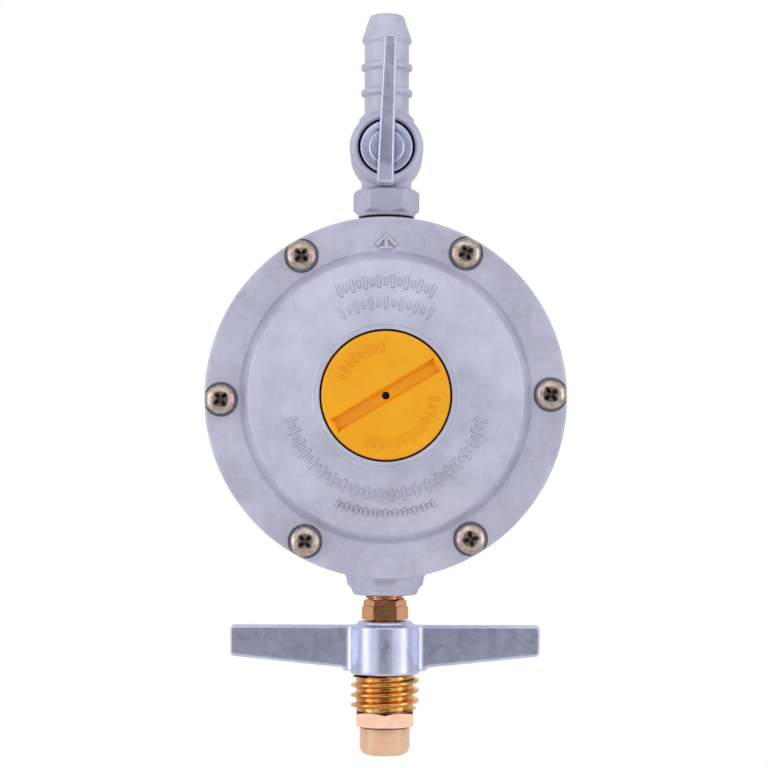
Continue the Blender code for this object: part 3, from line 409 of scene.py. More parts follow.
    def edged(self, width: float, angle: float = 35.0, segments: int = 3) -> Solid:
        """Round the edges that are sharper than an angle.

        Args:
            width: width of the rounding, in millimetres.
            angle: the angle, in degrees.
            segments: steps across it.

        Returns:
            This solid.
        """
        step = self.obj.modifiers.new("edges", "BEVEL")
        step.width = width * MM
        step.segments = segments
        step.limit_method = "ANGLE"
        step.angle_limit = math.radians(angle)
        step.use_clamp_overlap = True
        self.bake()
        return self

    def smooth(self, angle: float = 35.0) -> Solid:
        """Shade the solid smooth, apart from edges sharper than an angle in degrees."""
        self.obj.data.shade_smooth()
        self.obj.data.set_sharp_from_angle(angle=math.radians(angle))
        step = self.obj.modifiers.new("flat_faces_first", "WEIGHTED_NORMAL")
        step.keep_sharp = True
        self.bake()
        return self

    def dress(self, finish: Finish, body: str, slot: str, *nodes: str) -> bpy.types.Object:
        """Give the solid its finish and its place in the frame.

        Args:
            finish: its surface.
            body: the body it rides on.
            slot: its material slot in the record.
            nodes: the nodes it stands for.

        Returns:
            The finished object.
        """
        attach(self.obj, body)
        self.paint(finish, slot, *nodes)
        LOG.info("%s: %d faces on %s", self.obj.name, len(self.obj.data.polygons), body)
        return self.obj

    def paint(self, finish: Finish, slot: str, *nodes: str) -> None:
        """Give the solid its finish and hide the frame nodes that it stands for.

        Args:
            finish: its surface.
            slot: its material slot in the record; not used.
            nodes: the nodes it stands for.
        """
        self.obj.data.materials.clear()
        self.obj.data.materials.append(finish.material())
        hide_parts(*nodes)


class NodeBook:
    """Short way to write a material's nodes."""

    def __init__(self, name: str) -> None:
        """Start a material with a Principled shader."""
        self.mat = bpy.data.materials.new(name)
        self.mat.use_nodes = True
        self.tree = self.mat.node_tree
        self.shader = self.tree.nodes["Principled BSDF"]
        self.coords = self.tree.nodes.new("ShaderNodeTexCoord").outputs["Object"]

    def noise(self, scale: float, detail: float = 3.0, rough: float = 0.55) -> bpy.types.NodeSocket:
        """Noise with a number of features per metre.

        Args:
            scale: features per metre.
            detail: octaves.
            rough: weight of the finer octaves.

        Returns:
            The socket of its value.
        """
        node = self.tree.nodes.new("ShaderNodeTexNoise")
        node.inputs["Scale"].default_value = scale
        node.inputs["Detail"].default_value = detail
        node.inputs["Roughness"].default_value = rough
        self.tree.links.new(self.coords, node.inputs["Vector"])
        return node.outputs["Fac"]

    def ramp(self, value: bpy.types.NodeSocket, stops: Sequence[tuple[float, Spot]]) -> bpy.types.NodeSocket:
        """Colours along a value.

        Args:
            value: the value's socket.
            stops: places and colours.

        Returns:
            The socket of the colour.
        """
        node = self.tree.nodes.new("ShaderNodeValToRGB")
        ends = node.color_ramp.elements
        while len(ends) < len(stops):
            ends.new(0.5)
        for end, (at, colour) in zip(ends, stops):
            end.position = at
            end.color = (*colour, 1.0)
        self.tree.links.new(value, node.inputs["Fac"])
        return node.outputs["Color"]

    def blend(
        self,
        factor: bpy.types.NodeSocket,
        first: bpy.types.NodeSocket,
        second: bpy.types.NodeSocket,
        kind: str = "MIX",
    ) -> bpy.types.NodeSocket:
        """Mix two colours.

        Args:
            factor: how much of the second.
            first: first colour.
            second: second colour.
            kind: blend type.

        Returns:
            The socket of the mixed colour.
        """
        node = self.tree.nodes.new("ShaderNodeMix")
        node.data_type = "RGBA"
        node.blend_type = kind
        self.tree.links.new(factor, node.inputs[0])
        self.tree.links.new(first, node.inputs[6])
        self.tree.links.new(second, node.inputs[7])
        return node.outputs[2]

    def spread(self, value: bpy.types.NodeSocket, low: float, high: float) -> bpy.types.NodeSocket:
        """Map the middle half of a noise to a range.

        Args:
            value: the noise's socket.
            low: result at the low end.
            high: result at the high end.

        Returns:
            The socket of the mapped value.
        """
        node = self.tree.nodes.new("ShaderNodeMapRange")
        node.inputs["From Min"].default_value = 0.3
        node.inputs["From Max"].default_value = 0.7
        node.inputs["To Min"].default_value = low
        node.inputs["To Max"].default_value = high
        self.tree.links.new(value, node.inputs["Value"])
        return node.outputs["Result"]

    def paint_crevice_shade(self, colour: bpy.types.NodeSocket, reach: float, tint: Spot) -> bpy.types.NodeSocket:
        """Paint shade into a colour: darken it in crevices, where ambient occlusion finds nearby surfaces.

        Args:
            colour: the colour before the painted shade.
            reach: how far the painted shade reaches out of a corner, in millimetres.
            tint: what it multiplies the colour by, deep in a corner.

        Returns:
            The socket of the colour with the painted shade.
        """
        node = self.tree.nodes.new("ShaderNodeAmbientOcclusion")
        node.samples = 6
        node.inputs["Distance"].default_value = reach * MM
        # painted shade: ambient occlusion turned into a dark tint deep in crevices and white in the open
        painted_shade_tint = self.ramp(node.outputs["AO"], ((0.25, tint), (0.85, (1.0, 1.0, 1.0))))
        full = self.tree.nodes.new("ShaderNodeValue")
        full.outputs[0].default_value = 1.0
        return self.blend(full.outputs[0], colour, painted_shade_tint, "MULTIPLY")

    def relief(self, layers: Sequence[tuple[bpy.types.NodeSocket, float]]) -> None:
        """Stack bump layers on the shader.

        Args:
            layers: height sockets and their depths in millimetres.
        """
        before = None
        for height, depth in layers:
            node = self.tree.nodes.new("ShaderNodeBump")
            node.inputs["Strength"].default_value = 1.0
            node.inputs["Distance"].default_value = depth * MM
            self.tree.links.new(height, node.inputs["Height"])
            if before is not None:
                self.tree.links.new(before, node.inputs["Normal"])
            before = node.outputs["Normal"]
        self.tree.links.new(before, self.shader.inputs["Normal"])

    def feed(self, socket: str, value: bpy.types.NodeSocket) -> None:
        """Link a value to one of the shader's sockets."""
        self.tree.links.new(value, self.shader.inputs[socket])

    def fix(self, **values: float) -> None:
        """Set constant values on the shader, with underscores for the spaces in a socket's name."""
        for name, value in values.items():
            self.shader.inputs[name.replace("_", " ")].default_value = value


@dataclass(frozen=True)
class Finish:
    """A surface with mottled colour, uneven gloss, a fine relief and, for some finishes, painted shade in its
    crevices.
    """

    name: str
    light: Spot
    dark: Spot
    gloss: Point
    metal: float
    mottle: float = 90.0
    grain: float = 1600.0
    grain_depth: float = 0.012
    pit_scale: float = 420.0
    pit_depth: float = 0.02
    coat: float = 0.0
    glow_depth: float = 0.0
    # painted shade: the next two fields set how far the crevice darkening from ambient occlusion reaches, in
    # millimetres, and its darkest tint
    shade_reach: float = 0.0
    painted_shade_tint: Spot = (0.16, 0.15, 0.17)

    def material(self) -> bpy.types.Material:
        """The finish's material, made once."""
        made = bpy.data.materials.get(self.label())
        return made if made is not None else self.write()

    def label(self) -> str:
        """The material's name, kept apart from the record's slot names."""
        return f"{self.name}_finish"

    def write(self) -> bpy.types.Material:
        """Write the material's nodes.

        Returns:
            The material.
        """
        book = NodeBook(self.label())
        clouds = book.noise(self.mottle, 4.0)
        grain = book.noise(self.grain, 2.0)
        pits = book.noise(self.pit_scale, 5.0, 0.7)
        mid = tuple((a + b) / 2 for a, b in zip(self.light, self.dark))
        broad = book.ramp(clouds, ((0.36, self.dark), (0.5, mid), (0.64, self.light)))
        fine = book.ramp(pits, ((0.30, self.dark), (0.52, self.light)))
        share = book.spread(grain, 0.15, 0.5)
        colour = book.blend(share, broad, fine)
        # painted shade: the base colour is darkened in crevices where ambient occlusion finds nearby surfaces
        if self.shade_reach:
            colour = book.paint_crevice_shade(colour, self.shade_reach, self.painted_shade_tint)
        book.feed("Base Color", colour)
        book.feed("Roughness", book.spread(pits, *self.gloss))
        book.fix(Metallic=self.metal, Coat_Weight=self.coat, Subsurface_Weight=self.glow_depth)
        if self.glow_depth:
            book.shader.inputs["Subsurface Radius"].default_value = (0.002, 0.0012, 0.0008)
            book.fix(Subsurface_Scale=1.0)
        book.relief(((pits, self.pit_depth), (grain, self.grain_depth)))
        return book.mat


# Finishes that set a shade reach and tint get painted shade in their crevices, from ambient occlusion.
CAST_ZINC = Finish(
    "cast_zinc", (0.63, 0.63, 0.765), (0.47, 0.47, 0.59), (0.44, 0.58), 0.26,
    grain_depth=0.010, pit_depth=0.012, shade_reach=0.9,
)
TUMBLED_ZINC = Finish(
    "tumbled_zinc", (0.66, 0.68, 0.87), (0.53, 0.55, 0.74), (0.24, 0.38), 0.84,
    mottle=160.0, grain_depth=0.005, pit_depth=0.007, shade_reach=1.2,
)
TURNED_BRASS = Finish(
    "turned_brass", (0.92, 0.53, 0.18), (0.66, 0.28, 0.06), (0.14, 0.26), 1.0,
    grain_depth=0.002, pit_depth=0.003, shade_reach=0.9, painted_shade_tint=(0.22, 0.07, 0.012),
)
NIPPLE_BRASS = Finish(
    "dull_brass", (0.84, 0.44, 0.22), (0.62, 0.27, 0.11), (0.16, 0.28), 1.0,
    grain_depth=0.002, pit_depth=0.004, shade_reach=0.8, painted_shade_tint=(0.4, 0.2, 0.08),
)
PALE_BRASS = Finish(
    "pale_brass", (0.71, 0.47, 0.36), (0.60, 0.36, 0.25), (0.24, 0.38), 1.0,
    grain_depth=0.002, pit_depth=0.003, shade_reach=0.5, painted_shade_tint=(0.45, 0.22, 0.08),
)
PLATED_SCREW = Finish(
    "plated_screw", (0.60, 0.50, 0.44), (0.30, 0.23, 0.20), (0.18, 0.32), 1.0,
    mottle=700.0, grain_depth=0.003, pit_depth=0.005, shade_reach=1.1, painted_shade_tint=(0.09, 0.045, 0.035),
)
STEEL = Finish("bright_steel", (0.62, 0.62, 0.64), (0.45, 0.45, 0.47), (0.22, 0.36), 1.0, pit_depth=0.004)
DARK_STEEL = Finish("oiled_steel", (0.05, 0.045, 0.04), (0.02, 0.02, 0.02), (0.4, 0.55), 0.6, pit_depth=0.004)
YELLOW = Finish(
    "yellow_plastic", (1.0, 0.45, 0.002), (0.95, 0.39, 0.001), (0.40, 0.52), 0.0,
    grain_depth=0.003, pit_depth=0.006, shade_reach=0.9, painted_shade_tint=(0.75, 0.45, 0.2),
)
DARK_PLASTIC = Finish("dark_plastic", (0.035, 0.04, 0.045), (0.02, 0.02, 0.025), (0.4, 0.55), 0.0)
TAN_POLYMER = Finish(
    "tan_polymer", (0.90, 0.56, 0.36), (0.80, 0.46, 0.27), (0.20, 0.32), 0.0,
    grain_depth=0.003, pit_depth=0.01, coat=0.25, glow_depth=0.2,
)
RUBBER = Finish("black_rubber", (0.03, 0.03, 0.03), (0.012, 0.012, 0.012), (0.55, 0.75), 0.0)
FIBRE = Finish("sealing_fibre", (0.12, 0.07, 0.08), (0.06, 0.035, 0.045), (0.7, 0.85), 0.0, grain_depth=0.03)

HOUSING = "housing"


@dataclass(frozen=True)
class Thread:
    """A right-hand thread on the outside of a tube."""

    crest: float
    depth: float
    pitch: float
    bore: float
    run_out: float
    steps: int = 120
    rows_per_turn: int = 18
    plateau: float = 1.3
    flank: float = 3.6

    def radius(self, height: float, angle: float) -> float:
        """Radius of the thread's surface, away from its ends.

        Args:
            height: the height.
            angle: the angle round the axis.

        Returns:
            The radius.
        """
        phase = (height / self.pitch - angle / (2 * math.pi)) % 1.0
        wave = min(1.0, max(0.0, self.plateau - abs(phase - 0.5) * self.flank))
        return self.crest - self.depth + self.depth * wave * wave * (3 - 2 * wave)

    def solid(self, name: str, low: float, high: float) -> Solid:
        """Tube with the thread, which runs out at both ends.

        Args:
            name: the object's name.
            low: lower height.
            high: upper height.

        Returns:
            The solid.
        """
        rows = int((high - low) / self.pitch * self.rows_per_turn)
        rings = []
        for row in range(rows + 1):
            height = low + (high - low) * row / rows
            lead = min(height - low, high - height) / self.run_out
            limit = self.crest - self.depth * max(0.0, 1.0 - lead)
            ring = []
            for i in range(self.steps):
                angle = 2 * math.pi * i / self.steps
                radius = min(self.radius(height, angle), limit)
                ring.append((radius * math.cos(angle), radius * math.sin(angle), height))
            rings.append(ring)
        for height in (high, low):
            rings.append([(x, y, height) for x, y in circle(self.bore, self.steps)])
        shape = bmesh.new()
        skin(shape, rings, Ends.JOINED)
        return Solid(name, shape, place(Way.UP))


@dataclass
class InletFitting:
    """Nose seal, tip nut, threaded sleeve, wing nut and nipple, up the flow axis."""

    clearance: float = 0.3
    press_gap: float = 0.25
    nose_corner: float = 3.5
    nose_bore: float = 1.6
    tip_floor: float = 1.05
    washer_face: float = 6.3
    stem: float = 3.2
    nipple_bore: float = 1.7
    thread_pitch: float = 2.31
    thread_depth: float = 1.25
    shank: float = 6.2
    hub: float = 8.1
    hub_collar: float = 6.45
    collar_height: float = 0.9
    hub_cell: float = 0.24
    wing_root: float = 4.0
    wing_half: float = 2.3
    wing_edge: float = 0.35
    wing_root_drop: float = 9.9
    wing_tip_drop: float = 7.2
    wing_fillet: float = 2.9
    flare_half: float = 2.15
    lower_hex: float = 10.8
    upper_hex: float = 10.1
    lower_hex_height: float = 3.2
    upper_hex_height: float = 1.5

    def build(self) -> None:
        """Build and dress every piece."""
        self.build_nose()
        self.build_tip_nut()
        self.build_sleeve()
        self.build_wing_nut()
        self.build_nipple()

    def build_nose(self) -> None:
        """Soft nose with a rounded tip and a bore."""
        low, high = span("nose_seal")
        radius = high.x
        profile = rounded((
            (self.nose_bore, high.z, 0.1),
            (radius, high.z, 0.25),
            (radius, low.z, self.nose_corner),
            (self.nose_bore, low.z, 0.3),
        ), steps=14)
        made = Solid.turned("soft_nose", profile, place(Way.UP), 128)
        made.smooth().dress(TAN_POLYMER, HOUSING, "tan_polymer", "nose_seal")

    def build_tip_nut(self) -> None:
        """Brass nut above the nose, with a corner forward."""
        low, high = span("inlet_tip_nut")
        corners = high.y - low.y
        made = Solid.hexagon("tip_hex_nut", corners, low.z, high.z, (0.15, 0.4), math.pi / 2)
        socket, floor = self.stem + self.press_gap, low.z + self.tip_floor
        bore = [
            (0, high.z + 1), (socket, high.z + 1), (socket, floor), (self.nose_bore, floor),
            (self.nose_bore, low.z - 1), (0, low.z - 1),
        ]
        made.add(Solid.bar("washer_face", self.washer_face, high.z - 0.2, high.z + 0.22, place(Way.UP), 96))
        made.cut(Solid.turned("tip_nut_bore", bore, place(Way.UP), 64))
        made.edged(0.12).smooth().dress(PALE_BRASS, HOUSING, "brass", "inlet_tip_nut")

    def build_sleeve(self) -> None:
        """Brass sleeve with its male thread, and the plain shank inside the wing nut."""
        low, high = span("threaded_sleeve")
        bore = self.stem + self.clearance
        exposed = span("wing_nut")[0].z - 0.1
        thread = Thread(high.x, self.thread_depth, self.thread_pitch, bore, run_out=0.7)
        made = thread.solid("male_sleeve", low.z, exposed)
        foot = exposed - 0.5
        shank = [(bore, high.z), (self.shank, high.z), (self.shank, foot), (bore, foot)]
        made.add(Solid.turned("sleeve_shank", shank, place(Way.UP), 96))
        made.smooth(50).dress(TURNED_BRASS, "wing_nut", "brass", "threaded_sleeve")

    def build_wing_nut(self) -> None:
        """Cast wing nut with drafted wings and soft fillets at its hub."""
        low, high = span("wing_nut")
        top = high.z - self.collar_height
        profile = rounded((
            (0, high.z, 0), (self.hub_collar, high.z, 0.35), (self.hub_collar, top, 0.1),
            (self.hub, top, 0.5), (self.hub, low.z, 0.5), (0, low.z, 0),
        ), closed=False)
        made = Solid.turned("wing_casting", profile, place(Way.UP), 128)
        half = high.x
        tip_drop = top - self.wing_tip_drop
        root_drop = top - self.wing_root_drop
        outline = rounded((
            (self.wing_root, top - 0.1, 0), (half, top - 0.1, 0.9), (half - 0.15, tip_drop, 0.9),
            (self.hub + 1.4, root_drop, 0.8), (self.hub - 0.5, root_drop - 1.0, 0),
            (self.wing_root, root_drop - 1.0, 0),
        ))
        flat, edge = self.wing_half - self.wing_edge, self.wing_edge
        for side in (1, -1):
            name = "right_wing" if side > 0 else "left_wing"
            sections = []
            for depth, inset in ((-self.wing_half, edge), (-flat, 0.0), (flat, 0.0), (self.wing_half, edge)):
                sections.append([
                    (side * x, self.drawn_in(y, (top + tip_drop) / 2, inset), depth) for x, y in outline
                ])
            made.add(Solid.lofted(name, sections, place(Way.FORWARD)))
        for side in (1, -1):
            made.add(Solid.slab("wing_flare", self.flare(side), low.z + 0.8, top - 0.2, place(Way.UP)))
        made.cast(self.hub_cell, 6)
        bore = self.stem + self.clearance
        shank = self.shank + self.clearance
        floor = span("threaded_sleeve")[1].z + self.clearance
        hole = [
            (0, high.z + 1), (bore, high.z + 1), (bore, floor), (shank, floor), (shank, low.z - 1),
            (0, low.z - 1),
        ]
        made.cut(Solid.turned("hub_bore", hole, place(Way.UP), 96))
        made.smooth(60).dress(TUMBLED_ZINC, "wing_nut", "cast_zinc", "wing_nut")

    def flare(self, side: int) -> list[Point]:
        """Plan of the concave fillets between the hub and a wing.

        Args:
            side: 1 for the right wing, -1 for the left one.

        Returns:
            The outline.
        """
        face, radius = self.flare_half, self.wing_fillet
        away = face + radius
        reach = math.sqrt((self.hub + radius) ** 2 - away**2)
        first = math.atan2(-away, -reach)
        last = -math.pi / 2
        arc = []
        for step in range(9):
            angle = first + (last - first) * step / 8
            arc.append((reach + radius * math.cos(angle), away + radius * math.sin(angle)))
        half = [(side * x, y) for x, y in [(3.0, arc[0][1])] + arc]
        return half + [(x, -y) for x, y in half[::-1]]

    def drawn_in(self, height: float, middle: float, inset: float) -> float:
        """Height that is pulled towards the wing's middle.

        Args:
            height: the height.
            middle: the height of the wing's middle.
            inset: how far it is pulled.

        Returns:
            The pulled height.
        """
        return height + inset if height < middle else height - inset

    def build_nipple(self) -> None:
        """Brass nipple: stem, two hexagon tiers and the thread that enters the body."""
        low, high = span("inlet_nipple")
        shoulder = span("wing_nut")[1].z + self.clearance
        tier = shoulder + self.lower_hex_height
        foot = tier + self.upper_hex_height
        fine = Thread(crest=4.6, depth=0.5, pitch=0.94, bore=1.0, run_out=0.3, steps=72)
        made = Solid.hexagon("brass_nipple", self.lower_hex, shoulder, tier, (0.1, 0.15))
        made.add(
            Solid.hexagon("nipple_tier", self.upper_hex, tier - 0.4, foot, (0.0, 0.2)),
            fine.solid("nipple_thread", foot - 0.2, high.z),
            Solid.bar("nipple_stem", self.stem, low.z, shoulder + 0.5, place(Way.UP)),
        )
        made.cut(Solid.bar("nipple_bore", self.nipple_bore, low.z - 1, high.z + 1, place(Way.UP), 48))
        made.edged(0.08, 40, 2).smooth(30).dress(NIPPLE_BRASS, HOUSING, "brass", "inlet_nipple")


@dataclass
class RoundBody:
    """Body casting, cover casting, screws and cap."""

    wall: float = 2.6
    chamber: float = 30.2
    chamber_floor: float = 28.2
    bowl_back: float = 31.0
    bowl_foot: float = 33.6
    bowl_flange: float = 3.5
    bowl_cell: float = 0.42
    post_drop: float = 25.3
    outlet_boss: float = 8.5
    outlet_rise: float = 29.6
    ear_inner: float = 3.8
    ear_outer: float = 6.0
    ear_half: float = 3.5
    neck_bore: float = 14.9
    neck_depth: float = 9.4
    neck_outside: float = 15.75
    cover_flange: float = 3.2
    shoulder_rise: float = 2.3
    cone_rise: float = 4.2
    shoulder_foot: float = 32.75
    shoulder_top: float = 31.3
    cone_top: float = 17.1
    cover_wall: float = 2.4
    screw_circle: float = 37.75
    screw_twist: float = math.radians(1.0)
    screw_hole: float = 1.8
    spotface: float = 3.95
    screw_shank: float = 1.5
    screw_head: float = 3.55
    screw_pad: float = 2.8
    mark_height: float = 0.28
    mark_width: float = 0.62
    rim_swell: float = 0.95
    cap_wall: float = 1.5
    cap_crown: float = 3.2
    cap_slot_angle: float = math.radians(31.0)

    def __post_init__(self) -> None:
        """Read the places that the frame gives."""
        self.centre = joint_place("cap_turn").z
        self.where = place(Way.FORWARD, (0.0, 0.0, self.centre))
        cover_low, cover_high = span("cover_casting")
        self.neck_top = -cover_low.y
        self.cover_back = -cover_high.y
        self.cover_edge = cover_high.x + self.rim_swell
        self.face = self.cover_back + self.cover_flange
        self.shoulder = self.face + self.shoulder_rise
        self.cone_height = self.shoulder + self.cone_rise

    def build(self) -> None:
        """Build and dress every piece."""
        self.build_cover()
        self.build_screws()
        self.build_cap()
        self.build_bowl()

    def slope(self, radius: float) -> float:
        """Height of the cover's cone at a radius."""
        share = (radius - self.cone_top) / (self.shoulder_top - self.cone_top)
        return self.cone_height + (self.shoulder - self.cone_height) * share

    def mark(self, angle: float, inner: float, outer: float, width: float,
             surface: Callable[[float], float]) -> list[list[Spot]]:
        """Sections of one raised bar that lies along a radius.

        Args:
            angle: its angle.
            inner: radius of its inner end.
            outer: radius of its outer end.
            width: its width at the foot.
            surface: height of the surface at a radius.

        Returns:
            The sections, foot first.
        """
        sections = []
        for lift, shrink in ((-0.4, 0.0), (0.0, 0.0), (self.mark_height, 0.14)):
            near, far, half = inner + shrink, outer - shrink, width / 2 - shrink * 0.7
            corners = ((near, half), (far, half), (far, -half), (near, -half))
            places = swung(corners, angle)
            sections.append([(*at, surface(r) + lift) for at, (r, _) in zip(places, corners)])
        return sections

    def marks(self, name: str, bars: Sequence[Bar], surface: Callable[[float], float]) -> Solid:
        """Raised bars in one solid.

        Args:
            name: the solid's name.
            bars: angle, inner radius, outer radius and width of each.
            surface: height of the surface at a radius.

        Returns:
            The solid.
        """
        shape = bmesh.new()
        for bar in bars:
            skin(shape, self.mark(*bar, surface), Ends.CAPPED)
        return Solid(name, shape, self.where)

    def arc_bars(self, middle: float, height: float, start: float, end: float, count: int) -> list[Bar]:
        """Bars along an arc, long and short by turns.

        Args:
            middle: radius of the arc.
            height: length of a long bar.
            start: first angle, in degrees.
            end: last angle, in degrees.
            count: number of bars.

        Returns:
            The bars.
        """
        bars = []
        for i in range(count):
            angle = math.radians(start + (end - start) * i / (count - 1))
            half = height / 2 if i % 2 == 0 else height / 3.4
            bars.append((angle, middle - half, middle + half, self.mark_width))
        return bars

    def build_cover(self) -> None:
        """Cover with its flange, rounded shoulder, cone, neck and raised marks."""
        edge = self.cover_edge
        inner = self.cone_top + 0.5
        profile = rounded((
            (self.neck_bore, self.neck_top, 0.15),
            (self.neck_outside, self.neck_top, 0.4),
            (self.neck_outside + 0.2, self.cone_height + 0.4, 1.3),
            (self.shoulder_top + 0.3, self.shoulder - 0.15, 1.6),
            (self.shoulder_foot, self.face - 0.3, 0.4),
            (self.shoulder_foot + 0.4, self.face - 0.3, 0.3),
            (self.shoulder_foot + 0.95, self.face, 0.35),
            (edge, self.face, 0.7),
            (edge, self.cover_back, 0.4),
            (self.chamber, self.cover_back, 0.3),
            (self.chamber, self.shoulder - self.cover_wall, 1.5),
            (inner, self.cone_height - self.cover_wall, 0.5),
            (inner, self.neck_top - self.neck_depth, 0.2),
            (self.neck_bore, self.neck_top - self.neck_depth, 0.2),
        ), steps=8)
        made = Solid.turned("front_cover", profile, self.where, 224)
        bars = self.arc_bars(26.3, 3.2, 114, 66, 15) + self.arc_bars(21.3, 3.0, 118, 62, 13)
        bars += self.arc_bars(22.4, 3.2, 194, 346, 43) + self.arc_bars(26.6, 2.0, 246, 294, 21)
        made.add(self.marks("cover_marks", bars, self.slope))
        made.add(*self.arrow())
        for x, y in self.screw_places():
            at = place(Way.FORWARD, (x, 0.0, self.centre + y))
            made.cut(Solid.bar("screw_hole", self.screw_hole, self.cover_back - 1, self.face + 1, at, 32))
            made.cut(Solid.bar("screw_spotface", self.spotface, self.face - 0.28, self.face + 1, at, 48))
        made.smooth(38).dress(CAST_ZINC, HOUSING, "cast_zinc", "cover_casting")

    def arrow(self) -> list[Solid]:
        """Raised flow arrow on the flange, in strokes.

        Returns:
            Its solids.
        """
        tip, barb, foot = 37.5, 35.0, 34.05
        strokes = [
            [(-2.5, barb - 0.3), (-2.5, barb + 0.25), (0, tip + 0.2), (0, tip - 0.65), (-1.75, barb - 0.3)],
            [(0, tip - 0.65), (0, tip + 0.2), (2.5, barb + 0.25), (2.5, barb - 0.3), (1.75, barb - 0.3)],
            [(-0.42, foot), (0.42, foot), (0.42, tip - 0.9), (-0.42, tip - 0.9)],
            [(-1.5, foot), (1.5, foot), (1.5, foot + 0.6), (-1.5, foot + 0.6)],
        ]
        return [
            Solid.slab(f"arrow_stroke_{i}", stroke, self.face - 0.3, self.face + 0.3 + 0.01 * i, self.where)
            for i, stroke in enumerate(strokes)
        ]

    def screw_places(self) -> list[Point]:
        """Centres of the six screws, from the cover's centre."""
        return circle(self.screw_circle, 6, start=self.screw_twist)

    def plus(self, span_half: float, bar_half: float, height: float, turn: float) -> list[Spot]:
        """Cross outline.

        Args:
            span_half: half its span.
            bar_half: half its bar's width.
            height: its height.
            turn: its angle.

        Returns:
            Its twelve points.
        """
        a, b = span_half, bar_half
        points = [(a, -b), (a, b), (b, b), (b, a), (-b, a), (-b, b), (-a, b), (-a, -b), (-b, -b), (-b, -a),
                  (b, -a), (b, -b)]
        return [(x, y, height) for x, y in swung(points, turn)]

    def build_screws(self) -> None:
        """Six cross-recessed pan-head screws, each stopped at its own angle."""
        low, high = span("cover_screw_1")
        top, tip = -low.y, -high.y
        seat = self.face - 0.2
        turns = (38.0, 24.0, 47.0, 40.0, 42.0, 12.0)
        for i, ((x, y), turn) in enumerate(zip(self.screw_places(), turns)):
            at = place(Way.FORWARD, (x, 0.0, self.centre + y))
            head, shank = self.screw_head, self.screw_shank
            made = Solid.turned(f"pan_screw_{i + 1}", rounded((
                (0, top, 0), (2.0, top - 0.15, 2.5), (head - 0.3, top - 0.85, 1.0), (head, seat + 0.6, 0.4),
                (head, seat, 0.15), (shank, seat, 0), (shank, tip + 0.8, 0), (0.7, tip, 0), (0, tip, 0),
            ), closed=False, steps=8), at, 72)
            angle = math.radians(turn)
            recess = [self.plus(2.15, 0.52, top + 0.3, angle), self.plus(1.95, 0.44, top - 0.2, angle),
                      self.plus(0.7, 0.3, top - 1.5, angle)]
            made.cut(Solid.lofted("screw_recess", recess, at))
            made.smooth(40).dress(PLATED_SCREW, HOUSING, "plated_screws", f"cover_screw_{i + 1}")

    def build_cap(self) -> None:
        """Yellow cap with a drafted slot, a vent and raised marks."""
        low, high = span("vent_cap")
        front, back = -low.y, -high.y
        radius = high.x
        underside = front - self.cap_crown
        wall = radius - self.cap_wall
        made = Solid.turned("yellow_cap", rounded((
            (0, front, 0), (radius, front, 0.8), (radius, back, 0.3), (wall, back, 0.2),
            (wall, underside, 0.3), (0, underside, 0),
        ), closed=False, steps=8), self.where, 160)
        bars = [(math.radians(a), 9.6, 11.7 if i % 2 else 12.2, 0.5)
                for i, a in enumerate(list(range(94, 160, 9)) + list(range(-112, 2, 9)))]
        made.add(self.marks("cap_marks", bars, lambda radius: front))
        slot = []
        for height, half, reach in ((front + 0.6, 1.95, 13.65), (front, 1.8, 13.5), (front - 1.7, 1.3, 12.7)):
            corners = [(reach, -half), (reach, half), (-reach, half), (-reach, -half)]
            slot.append([(x, y, height) for x, y in swung(corners, self.cap_slot_angle)])
        made.cut(Solid.lofted("cap_slot", slot, self.where))
        made.cut(Solid.bar("cap_vent", 0.9, back - 1, front + 1, self.where, 32))
        made.edged(0.12, 40, 2).smooth(30).dress(YELLOW, "vent_cap", "yellow_plastic", "vent_cap")

    def build_bowl(self) -> None:
        """Body casting: bowl, flange, bosses and the ears inside."""
        low, high = span("body_casting")
        front, back = -low.y, -high.y
        edge = high.x
        floor = back + self.wall
        flange_back = front - self.bowl_flange
        profile = rounded((
            (0, floor, 0), (self.chamber_floor, floor, 2.0), (self.chamber, front - 3.0, 1.0),
            (self.chamber, front, 0.3), (edge, front, 0.4), (edge, flange_back, 0.8),
            (self.bowl_foot, flange_back, 1.6), (self.bowl_back, back, 4.0), (0, back, 0),
        ), closed=False, steps=8)
        made = Solid.turned("regulator_bowl", profile, self.where, 192)
        bottom = low.z
        post = self.centre - self.post_drop
        boss = self.chamfer_boss(bottom, post)
        root = self.centre + self.outlet_rise
        outlet = rounded((
            (0, high.z, 0), (self.outlet_boss, high.z, 0.5), (self.outlet_boss, root, 0), (0, root, 0)
        ), closed=False)
        made.add(boss, Solid.turned("outlet_boss", outlet, place(Way.UP), 96))
        for x, y in self.screw_places():
            at = place(Way.FORWARD, (x, 0.0, self.centre + y))
            pad_back = flange_back - 4.2
            pad = rounded((
                (0, flange_back + 1, 0), (self.screw_pad, flange_back + 1, 0),
                (self.screw_pad, pad_back, 0.6), (0, pad_back, 0),
            ), closed=False)
            made.add(Solid.turned("screw_pad", pad, at, 40))
        pin = joint_place("valve_lever_swing")
        inner, outer, root, end = self.ear_inner, self.ear_outer, 0.5 - floor, -2.5
        for side in (1, -1):
            ear = [(side * x, y) for x, y in ((inner, root), (outer, root), (outer, end), (inner, end))]
            at = place(Way.UP, (0.0, 0.0, pin.z))
            made.add(Solid.slab("lever_ear", ear, -self.ear_half, self.ear_half, at))
        made.cast(self.bowl_cell, 3)
        self.bore_bowl(made, bottom, post, high.z, front)
        made.smooth(60).dress(CAST_ZINC, HOUSING, "cast_zinc", "body_casting")

